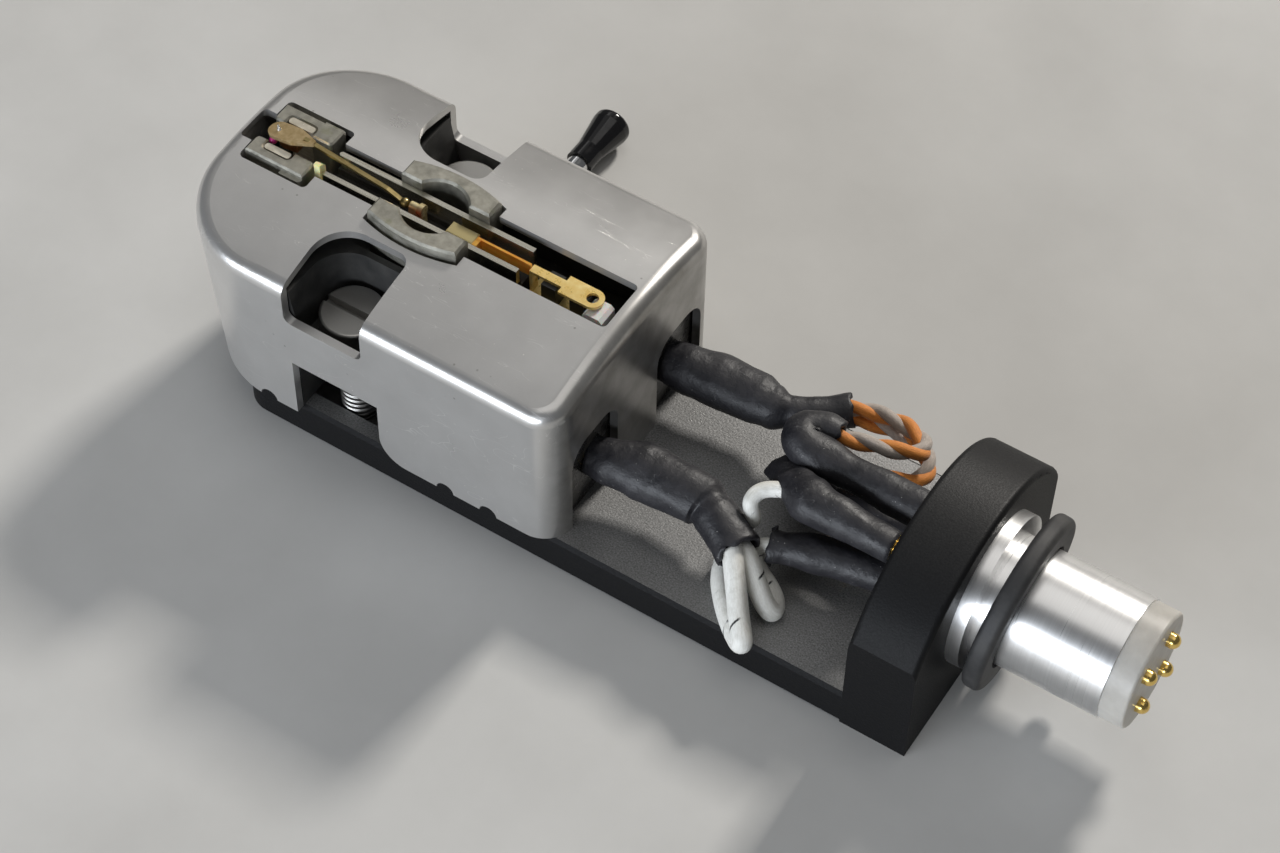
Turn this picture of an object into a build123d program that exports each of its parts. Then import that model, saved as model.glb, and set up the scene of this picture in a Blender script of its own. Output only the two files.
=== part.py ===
from build123d import *
import os
from math import radians, tan

# Turntable cartridge on its headshell, lying stylus side up.
# Millimetres. X runs along the connector axis towards the plug's pins, Y towards the
# finger lift, Z up. The origin is the middle of the flange's back face on the connector axis.

# Headshell
axis_height = 7.45
plate_width = 18.0
plate_thickness = 3.0
plate_length = 50.5
plate_corner_radius = 2.0
plate_edge_break = 0.25
flange_thickness = 4.6
flange_height = 14.15
flange_arc_margin = 1.4
flange_edge_radius = 0.4
bore_clearance = 0.03

# Connector plug
tube_diameter = 8.0
tube_length = 9.6
tube_wall = 0.7
collar_diameter = 10.4
collar_length = 0.9
gasket_diameter = 12.0
gasket_thickness = 1.3
gasket_tilt = 5.0
gasket_gap = 0.12
gasket_bore_margin = 0.25
gasket_edge_radius = 0.45
insulator_reach = 1.7
insulator_shoulder = 0.1
insulator_recess = 0.5
pin_pitch = 3.1
pin_diameter = 1.0
pin_reach = 0.75
post_reach = 3.4
pin_clearance = 0.02
locating_pin_diameter = 1.6
locating_pin_reach = 1.3
locating_pin_setback = 3.6

# Finger lift
lift_rod_diameter = 1.6
lift_reach = 15.2
lift_tip_length = 4.6
lift_tip_diameter = 2.8
lift_tip_neck = 2.0
lift_tip_neck_length = 1.4
lift_tip_rim_length = 0.75
lift_tip_edge_radius = 0.39
lift_socket_depth = 2.4
lift_tang_thickness = 0.7
lift_tang_width = 4.4
lift_collar_diameter = 2.6
lift_collar_length = 0.8
lift_clearance = 0.02

# Mounting hardware
screw_spacing = 12.7
screw_setback = 42.5
screw_diameter = 2.5
screw_clearance = 0.1
screw_head_diameter = 4.3
screw_head_height = 1.6
screw_slot_width = 0.6
screw_slot_depth = 0.6
nut_width = 4.4
nut_height = 1.5
slot_length = 9.0
recess_margin = 0.2

# Cover
cover_length = 30.2
cover_width = 19.1
cover_height = 13.5
cover_setback = 25.2
cover_wall = 0.6
cover_gap = 0.12
cover_front_radius = 6.4
cover_rear_radius = 2.2
cover_front_rake = 1.2
cover_crown_radius = 35.0
cover_edge_radius = 1.1
pocket_length = 5.95
pocket_inner_offset = 3.75
pocket_front_radius = 2.6
pocket_rear_radius = 0.9
pocket_rim_height = 9.1
pocket_rim_radius = 0.6
notch_length = 6.6
notch_height = 5.1
notch_offset = 0.6
notch_foot_radius = 2.0
small_notch_diameter = 1.3
small_notch_front = 5.0
small_notch_middle = 8.9
small_notch_rear = 12.2
rear_opening_width = 5.2
rear_opening_height = 7.6
rear_opening_offset = 4.9
rear_opening_radius = 1.8

# Slot in the cover's top
front_opening_length = 5.2
front_opening_width = 5.6
front_rim = 1.75
rim_relief_length = 1.0
rim_relief_width = 2.7
narrow_slot_width = 3.3
yoke_opening_margin = 0.22
rear_slot_width = 3.95
rear_slot_margin = 1.25
slot_corner_radius = 0.35

# Chassis
chassis_height = 11.2
trough_floor = 9.6
trough_width = 6.6
lug_height = 7.3
well_clearance = 0.15
well_corner_radius = 1.5
window_clearance = 0.6

# Front magnet system
pole_length = 4.5
pole_gap = 1.7
pole_width = 1.75
pole_height = 13.7
pole_margin = 0.15
pole_arm_width = 0.85
pole_corner_radius = 0.3
pole_edge_break = 0.12
pole_step_height = 1.2
pole_step_depth = 0.3
pole_step_offset = 0.1
pole_ledge_drop = 0.35
pole_recess_length = 2.1
pole_recess_depth = 0.75
pad_thickness = 0.5
pad_gap = 0.04
pad_corner_radius = 0.2
magnet_length = 4.2
magnet_height = 2.6

# Clamp yokes and rails
yoke_length = 6.7
yoke_half_width = 3.1
yoke_end_half_width = 2.55
yoke_hole_radius = 2.15
yoke_height = 14.1
yoke_setback = 40.4
yoke_edge_break = 0.15
rail_offset = 0.97
rail_width = 0.36
rail_depth = 1.2
rail_top = 13.3
rail_front = 48.4
rail_rear = 33.5
rail_nose_break = 0.14
carrier_groove = 1.3
carrier_groove_depth = 0.5
seat_gap = 0.03

# Stylus arm
hinge_setback = 42.7
hinge_height = 13.05
arm_width = 0.3
arm_thickness = 0.18
paddle_height = 14.35
paddle_length = 3.2
paddle_width = 1.4
paddle_setback = 50.0
paddle_dip = 9.0
paddle_taper = 1.1
paddle_thickness = 0.26
paddle_lap = 0.4
arm_bend_run = 1.3
arm_bend_rise = 0.5
coil_length = 1.5
coil_width = 0.7
coil_height = 0.95
coil_edge_radius = 0.33
diamond_height = 0.42
diamond_base = 0.3
diamond_tip = 0.06
diamond_inset = 0.75
bead_diameter = 0.56
bead_gap = 0.03
anchor_ball_diameter = 0.7
anchor_ring_diameter = 0.86
anchor_ring_length = 0.35
anchor_length = 1.0
anchor_post_radius = 0.3
anchor_socket_gap = 0.12
damper_length = 0.5
damper_width = 0.6
damper_chamfer = 0.34
damper_gap = 0.2

# Tension mechanism
clip_length = 2.0
clip_width = 1.3
clip_height = 1.05
clip_front = 39.2
clip_edge_radius = 0.12
strip_thickness = 0.16
strip_depth = 1.05
strip_drop = 0.15
bracket_thickness = 0.22
bracket_width = 1.5
bracket_front = 33.1
bracket_tab_front = 30.7
bracket_neck_width = 0.6
bracket_height = 12.9
bracket_end = 27.85
bracket_hole_diameter = 0.8
bracket_foot_width = 2.4
bracket_shelf_height = 1.2
spacer_length = 1.05
spacer_width = 1.3
spacer_front_setback = 32.0
spacer_rear_setback = 29.9
bracket_foot_setback = 0.9
wedge_block_offset = 0.3
wedge_block_break = 0.25
wedge_block_length = 1.45
wedge_block_width = 1.5
wedge_block_height = 1.7

# Terminals and leads
terminal_block_thickness = 1.3
terminal_block_height = 8.2
terminal_diameter = 0.8
terminal_reach = 1.1
terminal_depth = 0.9
terminal_level = 3.6
terminal_offset = 4.7
terminal_pitch = 1.1
lead_radius = 0.5
sleeve_radius = 1.7
sleeve_bore = 1.2
clip_sleeve_radius = 1.1
clip_sleeve_bore = 0.8
lead_clip_radius = 0.72
lead_clip_length = 3.8
lead_clip_socket = 2.6
lead_clip_gap = 1.0
clip_sleeve_gap = 0.6
bend_share = 0.45

# Levels and places that several pieces share
rest_level = -axis_height
seat_level = rest_level + plate_thickness
half_plate = plate_width / 2
half_cover = cover_width / 2
cover_rear = -cover_setback
cover_front = cover_rear - cover_length
screw_x = -screw_setback
screw_y = screw_spacing / 2
lug_level = seat_level + lug_height
floor_level = seat_level + trough_floor
tube_radius = tube_diameter / 2
insulator_end = tube_length + insulator_reach
post_offset = pin_pitch / 2
hinge_x = -hinge_setback
hinge_level = seat_level + hinge_height
paddle_level = seat_level + paddle_height

nodes = {}


def block(x0, x1, y0, y1, z0, z1):
    """A box between two corners."""
    size = Box(x1 - x0, y1 - y0, z1 - z0)
    return Pos((x0 + x1) / 2, (y0 + y1) / 2, (z0 + z1) / 2) * size


def rod_x(x0, x1, y, z, radius):
    """A round bar along X."""
    bar = Rot(0, 90, 0) * Cylinder(radius, x1 - x0)
    return Pos((x0 + x1) / 2, y, z) * bar


def rod_z(x, y, z0, z1, radius):
    """A round bar along Z."""
    return Pos(x, y, (z0 + z1) / 2) * Cylinder(radius, z1 - z0)


def rounded_plate(x0, x1, y0, y1, radius):
    """A rounded rectangle in plan."""
    outline = RectangleRounded(x1 - x0, y1 - y0, radius)
    return Pos((x0 + x1) / 2, (y0 + y1) / 2) * outline


def upright(sketch, z0, z1):
    """A plan sketch raised between two levels."""
    return extrude(Pos(0, 0, z0) * sketch, z1 - z0)


def route(points, bends):
    """A path of straight runs joined by arcs."""
    return FilletPolyline(*points, radius=bends)


def bar_along(path, radius):
    """A round bar along a path."""
    start = Plane(path @ 0, z_dir=path % 0)
    return sweep(start * Circle(radius), path=path)


def easy_bends(points):
    """The largest even bends that the runs of a loop leave room for."""
    bends = []
    for before, corner, after in zip(points, points[1:], points[2:]):
        one = Vector(*corner) - Vector(*before)
        two = Vector(*after) - Vector(*corner)
        half_turn = one.get_angle(two) / 2
        bends.append(bend_share * min(one.length, two.length) / tan(radians(half_turn)))
    return bends


def hose_along(path, radius, bore):
    """A round hose along a path, open at both ends."""
    start = Plane(path @ 0, z_dir=path % 0)
    ring = Circle(radius) - Circle(bore)
    return sweep(start * ring, path=path)


# Headshell: plate and arched flange milled from one piece, with two stepped slots for the
# mounting screws on the outer face and a cross channel for the finger lift's tang.
plate_plan = rounded_plate(-plate_length, 0, -half_plate, half_plate, plate_corner_radius)
tail_plan = Pos(-plate_length / 4, 0) * Rectangle(plate_length / 2, plate_width)
headshell = upright(plate_plan + tail_plan, rest_level, seat_level)
headshell = chamfer(headshell.edges().filter_by(Plane.XY), plate_edge_break)
flange_top_radius = half_plate + flange_arc_margin
arc_centre = rest_level + flange_height - flange_top_radius
flange_arc = Plane.YZ * Pos(0, arc_centre) * Circle(flange_top_radius)
flange_wall = Plane.YZ * Pos(0, rest_level + flange_height / 2) * Rectangle(plate_width, flange_height)
flange_foot = Plane.YZ * Pos(0, arc_centre - flange_height) * Rectangle(plate_width, 2 * flange_height)
flange_face = flange_wall & (flange_arc + flange_foot)
flange = extrude(flange_face, -flange_thickness)
arch_edges = flange.edges().filter_by(GeomType.CIRCLE)
flange = fillet(arch_edges, flange_edge_radius)
headshell = headshell + flange
headshell = headshell - rod_x(-flange_thickness - 1, 1, 0, 0, tube_radius + bore_clearance)
slot_width = screw_diameter + 2 * screw_clearance
recess_depth = nut_height + lift_tang_thickness
recess_width = nut_width + 2 * recess_margin
recess_level = rest_level + recess_depth
for side in (-1, 1):
    slot_plan = Pos(screw_x, side * screw_y) * SlotOverall(slot_length, slot_width)
    headshell = headshell - upright(slot_plan, rest_level - 1, seat_level + 1)
    recess_length = slot_length + recess_width - slot_width
    recess_plan = Pos(screw_x, side * screw_y) * SlotOverall(recess_length, recess_width)
    headshell = headshell - upright(recess_plan, rest_level - 1, recess_level)
tang_half = lift_tang_width / 2
channel_half = tang_half + recess_margin
headshell = headshell - block(screw_x - channel_half, screw_x + channel_half, screw_y, half_plate + 1,
                              rest_level - 1, recess_level)
nodes["headshell_body"] = headshell

# Connector plug: aluminium tube pressed through the flange, with a collar against its back face.
tube = rod_x(-flange_thickness, tube_length, 0, 0, tube_radius)
tube = tube + rod_x(0, collar_length, 0, 0, collar_diameter / 2)
tube_bore = tube_radius - tube_wall
tube = tube - rod_x(-flange_thickness - 1, tube_length + 1, 0, 0, tube_bore)
locating_x = tube_length - locating_pin_setback
locating_radius = locating_pin_diameter / 2
tube = tube - rod_z(locating_x, 0, -tube_radius - 1, 0, locating_radius + pin_clearance)
nodes["connector_tube"] = tube

# Insulator: one moulding that fills the tube and stands out of its end with a full-width face ring.
core_radius = tube_bore - pin_clearance
insulator = rod_x(-flange_thickness + insulator_recess, tube_length + insulator_reach, 0, 0, core_radius)
insulator = insulator + rod_x(tube_length, insulator_end, 0, 0, tube_radius - insulator_shoulder)
end_rim = insulator.edges().filter_by(GeomType.CIRCLE).group_by(Axis.X)[-1]
insulator = fillet(end_rim, insulator_shoulder * 2)
pin_radius = pin_diameter / 2
for side in (-1, 1):
    for level in (-1, 1):
        hole = rod_x(-flange_thickness - 1, insulator_end + 1, side * post_offset, level * post_offset,
                     pin_radius + pin_clearance)
        insulator = insulator - hole
insulator = insulator - rod_z(locating_x, 0, -tube_radius, 0, locating_radius + pin_clearance)
nodes["connector_insulator"] = insulator

# Contact pins: each runs through from the domed contact to the post for the lead's clip.
for side_name, side in (("near", -1), ("far", 1)):
    for level_name, level in (("lower", -1), ("upper", 1)):
        pin = rod_x(-flange_thickness - post_reach, insulator_end + pin_reach - pin_radius,
                    side * post_offset, level * post_offset, pin_radius)
        dome = Pos(insulator_end + pin_reach - pin_radius, side * post_offset, level * post_offset)
        pin = pin + dome * Sphere(pin_radius)
        nodes["contact_pin_" + side_name + "_" + level_name] = pin

# Locating pin of the bayonet, on the side that lies underneath here.
locating = rod_z(locating_x, 0, -tube_radius - locating_pin_reach, -pin_clearance * 2, locating_radius)
nodes["locating_pin"] = locating

# Gasket: soft rubber ring on the tube, leaning a little away from the collar on its upper side.
gasket_hole = tube_radius + gasket_bore_margin
gasket_radius = gasket_diameter / 2
gasket = Rot(0, 90, 0) * (Cylinder(gasket_radius, gasket_thickness) - Cylinder(gasket_hole, gasket_thickness))
gasket = fillet(gasket.edges().group_by(SortBy.LENGTH)[-1], gasket_edge_radius)
gasket_lean = gasket_radius * tan(radians(gasket_tilt))
gasket_shift = collar_length + gasket_thickness / 2 + gasket_lean + gasket_gap
gasket = Pos(gasket_shift, 0, 0) * Rot(0, gasket_tilt, 0) * gasket
nodes["rubber_gasket"] = gasket

# Finger lift: a steel rod with a flattened eyelet that the far nut clamps, and a flared black tip.
lift_level = recess_level - lift_tang_thickness / 2
tang_plan = Pos(screw_x, screw_y) * Circle(tang_half)
collar_start = max(half_plate, screw_y + nut_width / 2) + lift_clearance
collar_end = collar_start + lift_collar_length
tang_middle = (screw_y + half_plate) / 2
tang_plan = tang_plan + Pos(screw_x, tang_middle) * Rectangle(lift_tang_width, half_plate - screw_y)
tang_plan = tang_plan + Pos(screw_x, (half_plate + collar_end) / 2) * Rectangle(
    lift_rod_diameter, collar_end - half_plate)
tang_plan = tang_plan - Pos(screw_x, screw_y) * Circle(screw_diameter / 2 + screw_clearance)
tang = upright(tang_plan, recess_level - lift_tang_thickness, recess_level)
lift_radius = lift_rod_diameter / 2
rod_level = rest_level + lift_tip_diameter / 2 + recess_margin
lift_end = half_plate + lift_reach
tip_start = lift_end - lift_tip_length
rod_end = tip_start + lift_socket_depth
rod = Pos(screw_x, (collar_start + rod_end) / 2, rod_level) * Rot(90, 0, 0) * Cylinder(
    lift_radius, rod_end - collar_start)
lift_collar = Pos(screw_x, (collar_start + collar_end) / 2, rod_level) * Rot(90, 0, 0) * Cylinder(
    lift_collar_diameter / 2, lift_collar_length)
lift = tang + rod + lift_collar
nodes["finger_lift_rod"] = lift
neck_radius = lift_tip_neck / 2
flare_radius = lift_tip_diameter / 2
tip_profile = Polyline(
    (0, tip_start), (neck_radius, tip_start), (neck_radius, tip_start + lift_tip_neck_length),
    (flare_radius, lift_end - lift_tip_rim_length), (flare_radius, lift_end), (0, lift_end), close=True)
tip = revolve(make_face(tip_profile), Axis.Y)
tip = Pos(screw_x, 0, rod_level) * tip
tip_rims = tip.edges().filter_by(GeomType.CIRCLE).group_by(Axis.Y)[-1]
tip = fillet(tip_rims, lift_tip_edge_radius)
socket = Pos(screw_x, tip_start + lift_socket_depth / 2, rod_level) * Rot(90, 0, 0) * Cylinder(
    lift_radius + lift_clearance, lift_socket_depth)
nodes["finger_lift_tip"] = tip - socket

# Mounting screws, nuts and washer: slotted cheese heads in the pockets, thin hexagon nuts in the recesses.
screw_radius = screw_diameter / 2
head_radius = screw_head_diameter / 2
for side_name, side in (("near", -1), ("far", 1)):
    head_top = lug_level + screw_head_height
    head = rod_z(screw_x, side * screw_y, lug_level, head_top, head_radius)
    head = fillet(head.edges().filter_by(GeomType.CIRCLE).group_by(Axis.Z)[-1], screw_slot_depth / 3)
    slot_near = side * screw_y - screw_slot_width / 2
    head = head - block(screw_x - head_radius - 1, screw_x + head_radius + 1, slot_near,
                        slot_near + screw_slot_width, head_top - screw_slot_depth, head_top + 1)
    shank = rod_z(screw_x, side * screw_y, rest_level + screw_clearance, lug_level, screw_radius)
    nodes["mounting_screw_" + side_name] = head + shank
    nut_plan = Pos(screw_x, side * screw_y) * (
        RegularPolygon(nut_width / 2, 6, major_radius=False) - Circle(screw_radius + pin_clearance))
    nut_top = recess_level - lift_tang_thickness
    nodes["mounting_nut_" + side_name] = upright(nut_plan, nut_top - nut_height, nut_top)
washer_plan = Pos(screw_x, -screw_y) * (Circle(nut_width / 2) - Circle(screw_radius + screw_clearance))
nodes["mounting_washer"] = upright(washer_plan, recess_level - lift_tang_thickness, recess_level)


# Cover: a thin drawn shell with a raked, rounded nose and a crowned top.
def cover_plan(front, inset):
    """The cover's outline in plan, drawn in by an inset."""
    x0 = front + inset
    x1 = cover_rear - inset
    half = half_cover - inset
    outline = make_face(Polyline((x0, -half), (x1, -half), (x1, half), (x0, half), close=True))
    front_corners = outline.vertices().group_by(Axis.X)[0]
    outline = fillet(front_corners, cover_front_radius - inset)
    rear_corners = outline.vertices().group_by(Axis.X)[-1]
    return fillet(rear_corners, cover_rear_radius - inset)


def cover_form(inset):
    """The cover's solid form, drawn in by an inset all round and from the top."""
    top = seat_level + cover_height
    foot_plan = Pos(0, 0, seat_level) * cover_plan(cover_front + cover_front_rake, inset)
    top_plan = Pos(0, 0, top) * cover_plan(cover_front, inset)
    body = loft([foot_plan, top_plan], ruled=True)
    crown = Rot(0, 90, 0) * Cylinder(cover_crown_radius - inset, 3 * cover_length)
    crown = Pos((cover_front + cover_rear) / 2, 0, top - cover_crown_radius) * crown
    return body & crown


pocket_half = pocket_length / 2
yoke_x = -yoke_setback
yoke_half_length = yoke_length / 2
opening_front = cover_front + front_rim
opening_rear = opening_front + front_opening_length
rear_slot_end = cover_rear - rear_slot_margin


def yoke_outline(margin):
    """The barrel outline of the two clamp yokes together."""
    a = yoke_half_length + margin
    b = yoke_half_width + margin
    c = yoke_end_half_width + margin
    upper = ThreePointArc((-a, c), (0, b), (a, c))
    lower = ThreePointArc((a, -c), (0, -b), (-a, -c))
    right = Line((a, c), (a, -c))
    left = Line((-a, -c), (-a, c))
    return Pos(yoke_x, 0) * make_face([upper, right, lower, left])


def pocket_plan(side, half_length, inner, outer, front_radius, rear_radius):
    """A screw pocket in plan, rounded at its two inner corners and open at the cover's side."""
    plan = make_face(Polyline((screw_x - half_length, inner), (screw_x + half_length, inner),
                              (screw_x + half_length, outer), (screw_x - half_length, outer), close=True))
    inner_corners = plan.vertices().group_by(Axis.Y)[0].sort_by(Axis.X)
    plan = fillet(inner_corners[0], front_radius)
    inner_rear = plan.vertices().group_by(Axis.Y)[0].sort_by(Axis.X)[-1]
    plan = fillet(inner_rear, rear_radius)
    return plan if side > 0 else mirror(plan, Plane.XZ)


cover_top = seat_level + cover_height
outer = cover_form(0)
top_face = outer.faces().sort_by(Axis.Z)[-1]
outer = fillet(top_face.edges(), cover_edge_radius)
cover = outer - cover_form(cover_wall)
front_plan = rounded_plate(opening_front, opening_rear, -front_opening_width / 2, front_opening_width / 2,
                           slot_corner_radius)
relief_plan = rounded_plate(opening_front - rim_relief_length, opening_front + rim_relief_length,
                            -rim_relief_width / 2, rim_relief_width / 2, slot_corner_radius)
narrow_plan = rounded_plate(opening_rear - slot_corner_radius * 2, yoke_x, -narrow_slot_width / 2,
                            narrow_slot_width / 2, slot_corner_radius)
rear_plan = rounded_plate(yoke_x, rear_slot_end, -rear_slot_width / 2, rear_slot_width / 2, slot_corner_radius)
slot_plan = front_plan + relief_plan + narrow_plan + rear_plan + yoke_outline(yoke_opening_margin)
cover = cover - upright(slot_plan, floor_level, cover_top + 1)
pocket_rim_level = seat_level + pocket_rim_height
for side in (-1, 1):
    mouth = pocket_plan(side, pocket_half, pocket_inner_offset, half_cover + pocket_rim_radius * 2,
                        pocket_front_radius, pocket_rear_radius)
    pocket = upright(mouth, pocket_rim_level, cover_top + 1)
    pocket = fillet(pocket.edges().group_by(Axis.Z)[0], pocket_rim_radius)
    cover = cover - pocket
    notch_front = screw_x + notch_offset - notch_length / 2
    notch_rear = notch_front + notch_length
    notch = Pos((notch_front + notch_rear) / 2, seat_level) * Rectangle(notch_length, 2 * notch_height)
    foot_x = notch_rear + notch_foot_radius
    foot = Pos(foot_x - notch_foot_radius / 2, seat_level) * Rectangle(notch_foot_radius, 2 * notch_foot_radius)
    foot = foot - Pos(foot_x, seat_level + notch_foot_radius) * Circle(notch_foot_radius)
    wall_start = side * (half_cover - 2 * cover_wall)
    side_cut = extrude(Plane.XZ.offset(-wall_start) * (notch + foot), -side * 4 * cover_wall)
    for place in (-small_notch_front, small_notch_middle, small_notch_rear):
        bite = Pos(screw_x + place, seat_level) * Circle(small_notch_diameter / 2)
        side_cut = side_cut + extrude(Plane.XZ.offset(-wall_start) * bite, -side * 4 * cover_wall)
    cover = cover - side_cut
    opening = Plane.YZ * Pos(side * rear_opening_offset, seat_level + rear_opening_height / 2 - 1) * Rectangle(
        rear_opening_width, rear_opening_height + 2)
    opening = fillet(opening.vertices().group_by(Axis.Z)[-1], rear_opening_radius)
    rear_cut = extrude(opening, cover_wall * 2, both=True)
    cover = cover - Pos(cover_rear, 0, 0) * rear_cut
nodes["cover_shell"] = cover

# Chassis: moulded frame that fills the cover, with the trough of the mechanism, the two screw
# pockets on their lugs, the open windows under the lugs, and a low shelf for the tension bracket.
chassis_inset = cover_wall + cover_gap
chassis_top = seat_level + chassis_height
chassis_rear = cover_rear - chassis_inset - terminal_block_thickness
chassis = cover_form(chassis_inset)
chassis = chassis & block(cover_front, chassis_rear, -half_cover, half_cover, seat_level, chassis_top)
trough_front = opening_front - rim_relief_length / 2
trough_half = trough_width / 2
chassis = chassis - block(trough_front, chassis_rear + 1, -trough_half, trough_half, floor_level,
                          chassis_top + 1)
shelf_level = floor_level + bracket_shelf_height
chassis = chassis + block(-bracket_front - seat_gap, chassis_rear, -bracket_foot_width / 2,
                          bracket_foot_width / 2, floor_level, shelf_level)
for side in (-1, 1):
    well_inner = screw_y - head_radius - well_clearance
    well_half = head_radius + well_clearance
    well_floor = pocket_plan(side, well_half, well_inner, half_cover, well_corner_radius, well_corner_radius)
    well_mouth = pocket_plan(side, pocket_half, pocket_inner_offset, half_cover, pocket_front_radius,
                             pocket_rear_radius)
    well = loft([Pos(0, 0, lug_level) * well_floor, Pos(0, 0, chassis_top) * well_mouth], ruled=True)
    chassis = chassis - well
    edges = sorted((side * (screw_y - head_radius - window_clearance), side * (half_cover + 1)))
    chassis = chassis - block(notch_front, notch_rear, edges[0], edges[1], seat_level - 1,
                              seat_level + notch_height)
    chassis = chassis - rod_z(screw_x, side * screw_y, seat_level, lug_level + 1,
                              screw_radius + screw_clearance)
pole_front = opening_front + pole_margin
magnet_front = pole_front + (pole_length - magnet_length) / 2
magnet_rear = magnet_front + magnet_length
magnet_half = pole_gap / 2 + pole_width
chassis = chassis - block(magnet_front, magnet_rear, -magnet_half, magnet_half, floor_level - magnet_height,
                          floor_level + 1)
nodes["chassis"] = chassis

# Front magnet system: a magnet block under two hook-shaped pole pieces, with a coil pad in each hook.
# Each pole piece steps in along its outer side, deeper in front than at its rear.
magnet = block(magnet_front + seat_gap, magnet_rear - seat_gap, -magnet_half + seat_gap, magnet_half - seat_gap,
               floor_level - magnet_height, floor_level)
nodes["magnet_block"] = magnet
pole_rear = pole_front + pole_length
pole_top = seat_level + pole_height
recess_front = pole_front + pole_arm_width
recess_rear = recess_front + pole_recess_length
for side_name, side in (("near", -1), ("far", 1)):
    inner = pole_gap / 2
    outer_edge = inner + pole_width
    hook = rounded_plate(pole_front, pole_rear, inner, outer_edge, pole_corner_radius)
    hook = hook - rounded_plate(recess_front, recess_rear, inner - 1, inner + pole_recess_depth,
                                pole_corner_radius)
    pole = upright(hook, floor_level, pole_top)
    step_edge = outer_edge - pole_step_depth
    pole = pole - block(pole_front - 1, recess_rear - pole_step_offset, step_edge, outer_edge + 1,
                        pole_top - pole_step_height, pole_top + 1)
    pole = pole - block(recess_rear - pole_step_offset, pole_rear + 1, step_edge, outer_edge + 1,
                        pole_top - pole_ledge_drop, pole_top + 1)
    pole = chamfer(pole.edges().group_by(Axis.Z)[-1], pole_edge_break)
    pad_inset = pad_gap * 2
    pad_back = inner + pole_recess_depth - pad_gap
    pad = rounded_plate(recess_front + pad_inset, recess_rear - pad_inset, pad_back - pad_thickness, pad_back,
                        pad_corner_radius)
    pad = upright(pad, floor_level, pole_top - pad_gap)
    if side < 0:
        pole = mirror(pole, Plane.XZ)
        pad = mirror(pad, Plane.XZ)
    nodes["pole_piece_" + side_name] = pole
    nodes["coil_pad_" + side_name] = pad

# Rail carrier and rails: a grooved bar in the trough, with a thin rail standing on each of its edges.
rail_level = seat_level + rail_top
rail_foot = rail_level - rail_depth
carrier_half = rail_offset + rail_width / 2
carrier = block(-rail_front, -rail_rear, -carrier_half, carrier_half, floor_level, rail_foot)
carrier = carrier - block(-rail_front - 1, -rail_rear + 1, -carrier_groove / 2, carrier_groove / 2,
                          rail_foot - carrier_groove_depth, rail_foot + 1)
nodes["rail_carrier"] = carrier
for side_name, side in (("near", -1), ("far", 1)):
    rail = block(-rail_front, -rail_rear, rail_offset - rail_width / 2, rail_offset + rail_width / 2,
                 rail_foot, rail_level)
    nose = rail.edges().filter_by(Axis.Z).group_by(Axis.X)[0]
    rail = chamfer(nose, rail_nose_break)
    if side < 0:
        rail = mirror(rail, Plane.XZ)
    nodes["rail_" + side_name] = rail

# Clamp yokes: two cast crescents that hold the rails between them and stand a little proud of the cover.
yoke_top = seat_level + yoke_height
yoke_inner = carrier_half + seat_gap
for side_name, side in (("near", -1), ("far", 1)):
    crescent = yoke_outline(0) - Pos(yoke_x, 0) * Circle(yoke_hole_radius)
    half_plane = Pos(yoke_x, yoke_inner + yoke_half_width) * Rectangle(yoke_length * 2, 2 * yoke_half_width)
    crescent = crescent & half_plane
    yoke = upright(crescent, floor_level, yoke_top)
    yoke = chamfer(yoke.edges().group_by(Axis.Z)[-1], yoke_edge_break)
    if side < 0:
        yoke = mirror(yoke, Plane.XZ)
    nodes["clamp_yoke_" + side_name] = yoke

# Arm anchor: a crimp sleeve on a foot in the carrier's groove, behind the arm's ball end, with a ring
# round its rear end.
groove_floor = rail_foot - carrier_groove_depth
ball_radius = anchor_ball_diameter / 2
anchor_front = hinge_x + ball_radius + anchor_socket_gap
anchor_rear = anchor_front + anchor_length
ring_radius = anchor_ring_diameter / 2
anchor = rod_x(anchor_front, anchor_rear, 0, hinge_level, anchor_post_radius)
anchor = anchor + rod_x(anchor_rear - anchor_ring_length, anchor_rear, 0, hinge_level, ring_radius)
anchor = anchor + block(anchor_front, anchor_rear, -anchor_post_radius, anchor_post_radius, groove_floor,
                        hinge_level)
nodes["arm_anchor"] = anchor

# Stylus arm: a thin bronze arm that rises steeply from the ball at the anchor and then gently to the paddle.
paddle_rear = -paddle_setback
paddle_foot = paddle_level - paddle_thickness
arm_bend = hinge_x - arm_bend_run
arm_front = paddle_rear - paddle_lap
bend_level = hinge_level + arm_bend_rise
arm_path = Polyline((hinge_x, hinge_level), (arm_bend, bend_level),
                    (paddle_rear, paddle_level), (arm_front, paddle_level),
                    (arm_front, paddle_level - arm_thickness), (paddle_rear, paddle_level - arm_thickness),
                    (arm_bend, bend_level - arm_thickness), (hinge_x, hinge_level - arm_thickness), close=True)
arm = extrude(Plane.XZ * make_face(arm_path), arm_width / 2, both=True)
arm = arm + Pos(hinge_x, 0, hinge_level - arm_thickness / 2) * Sphere(ball_radius)

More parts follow.
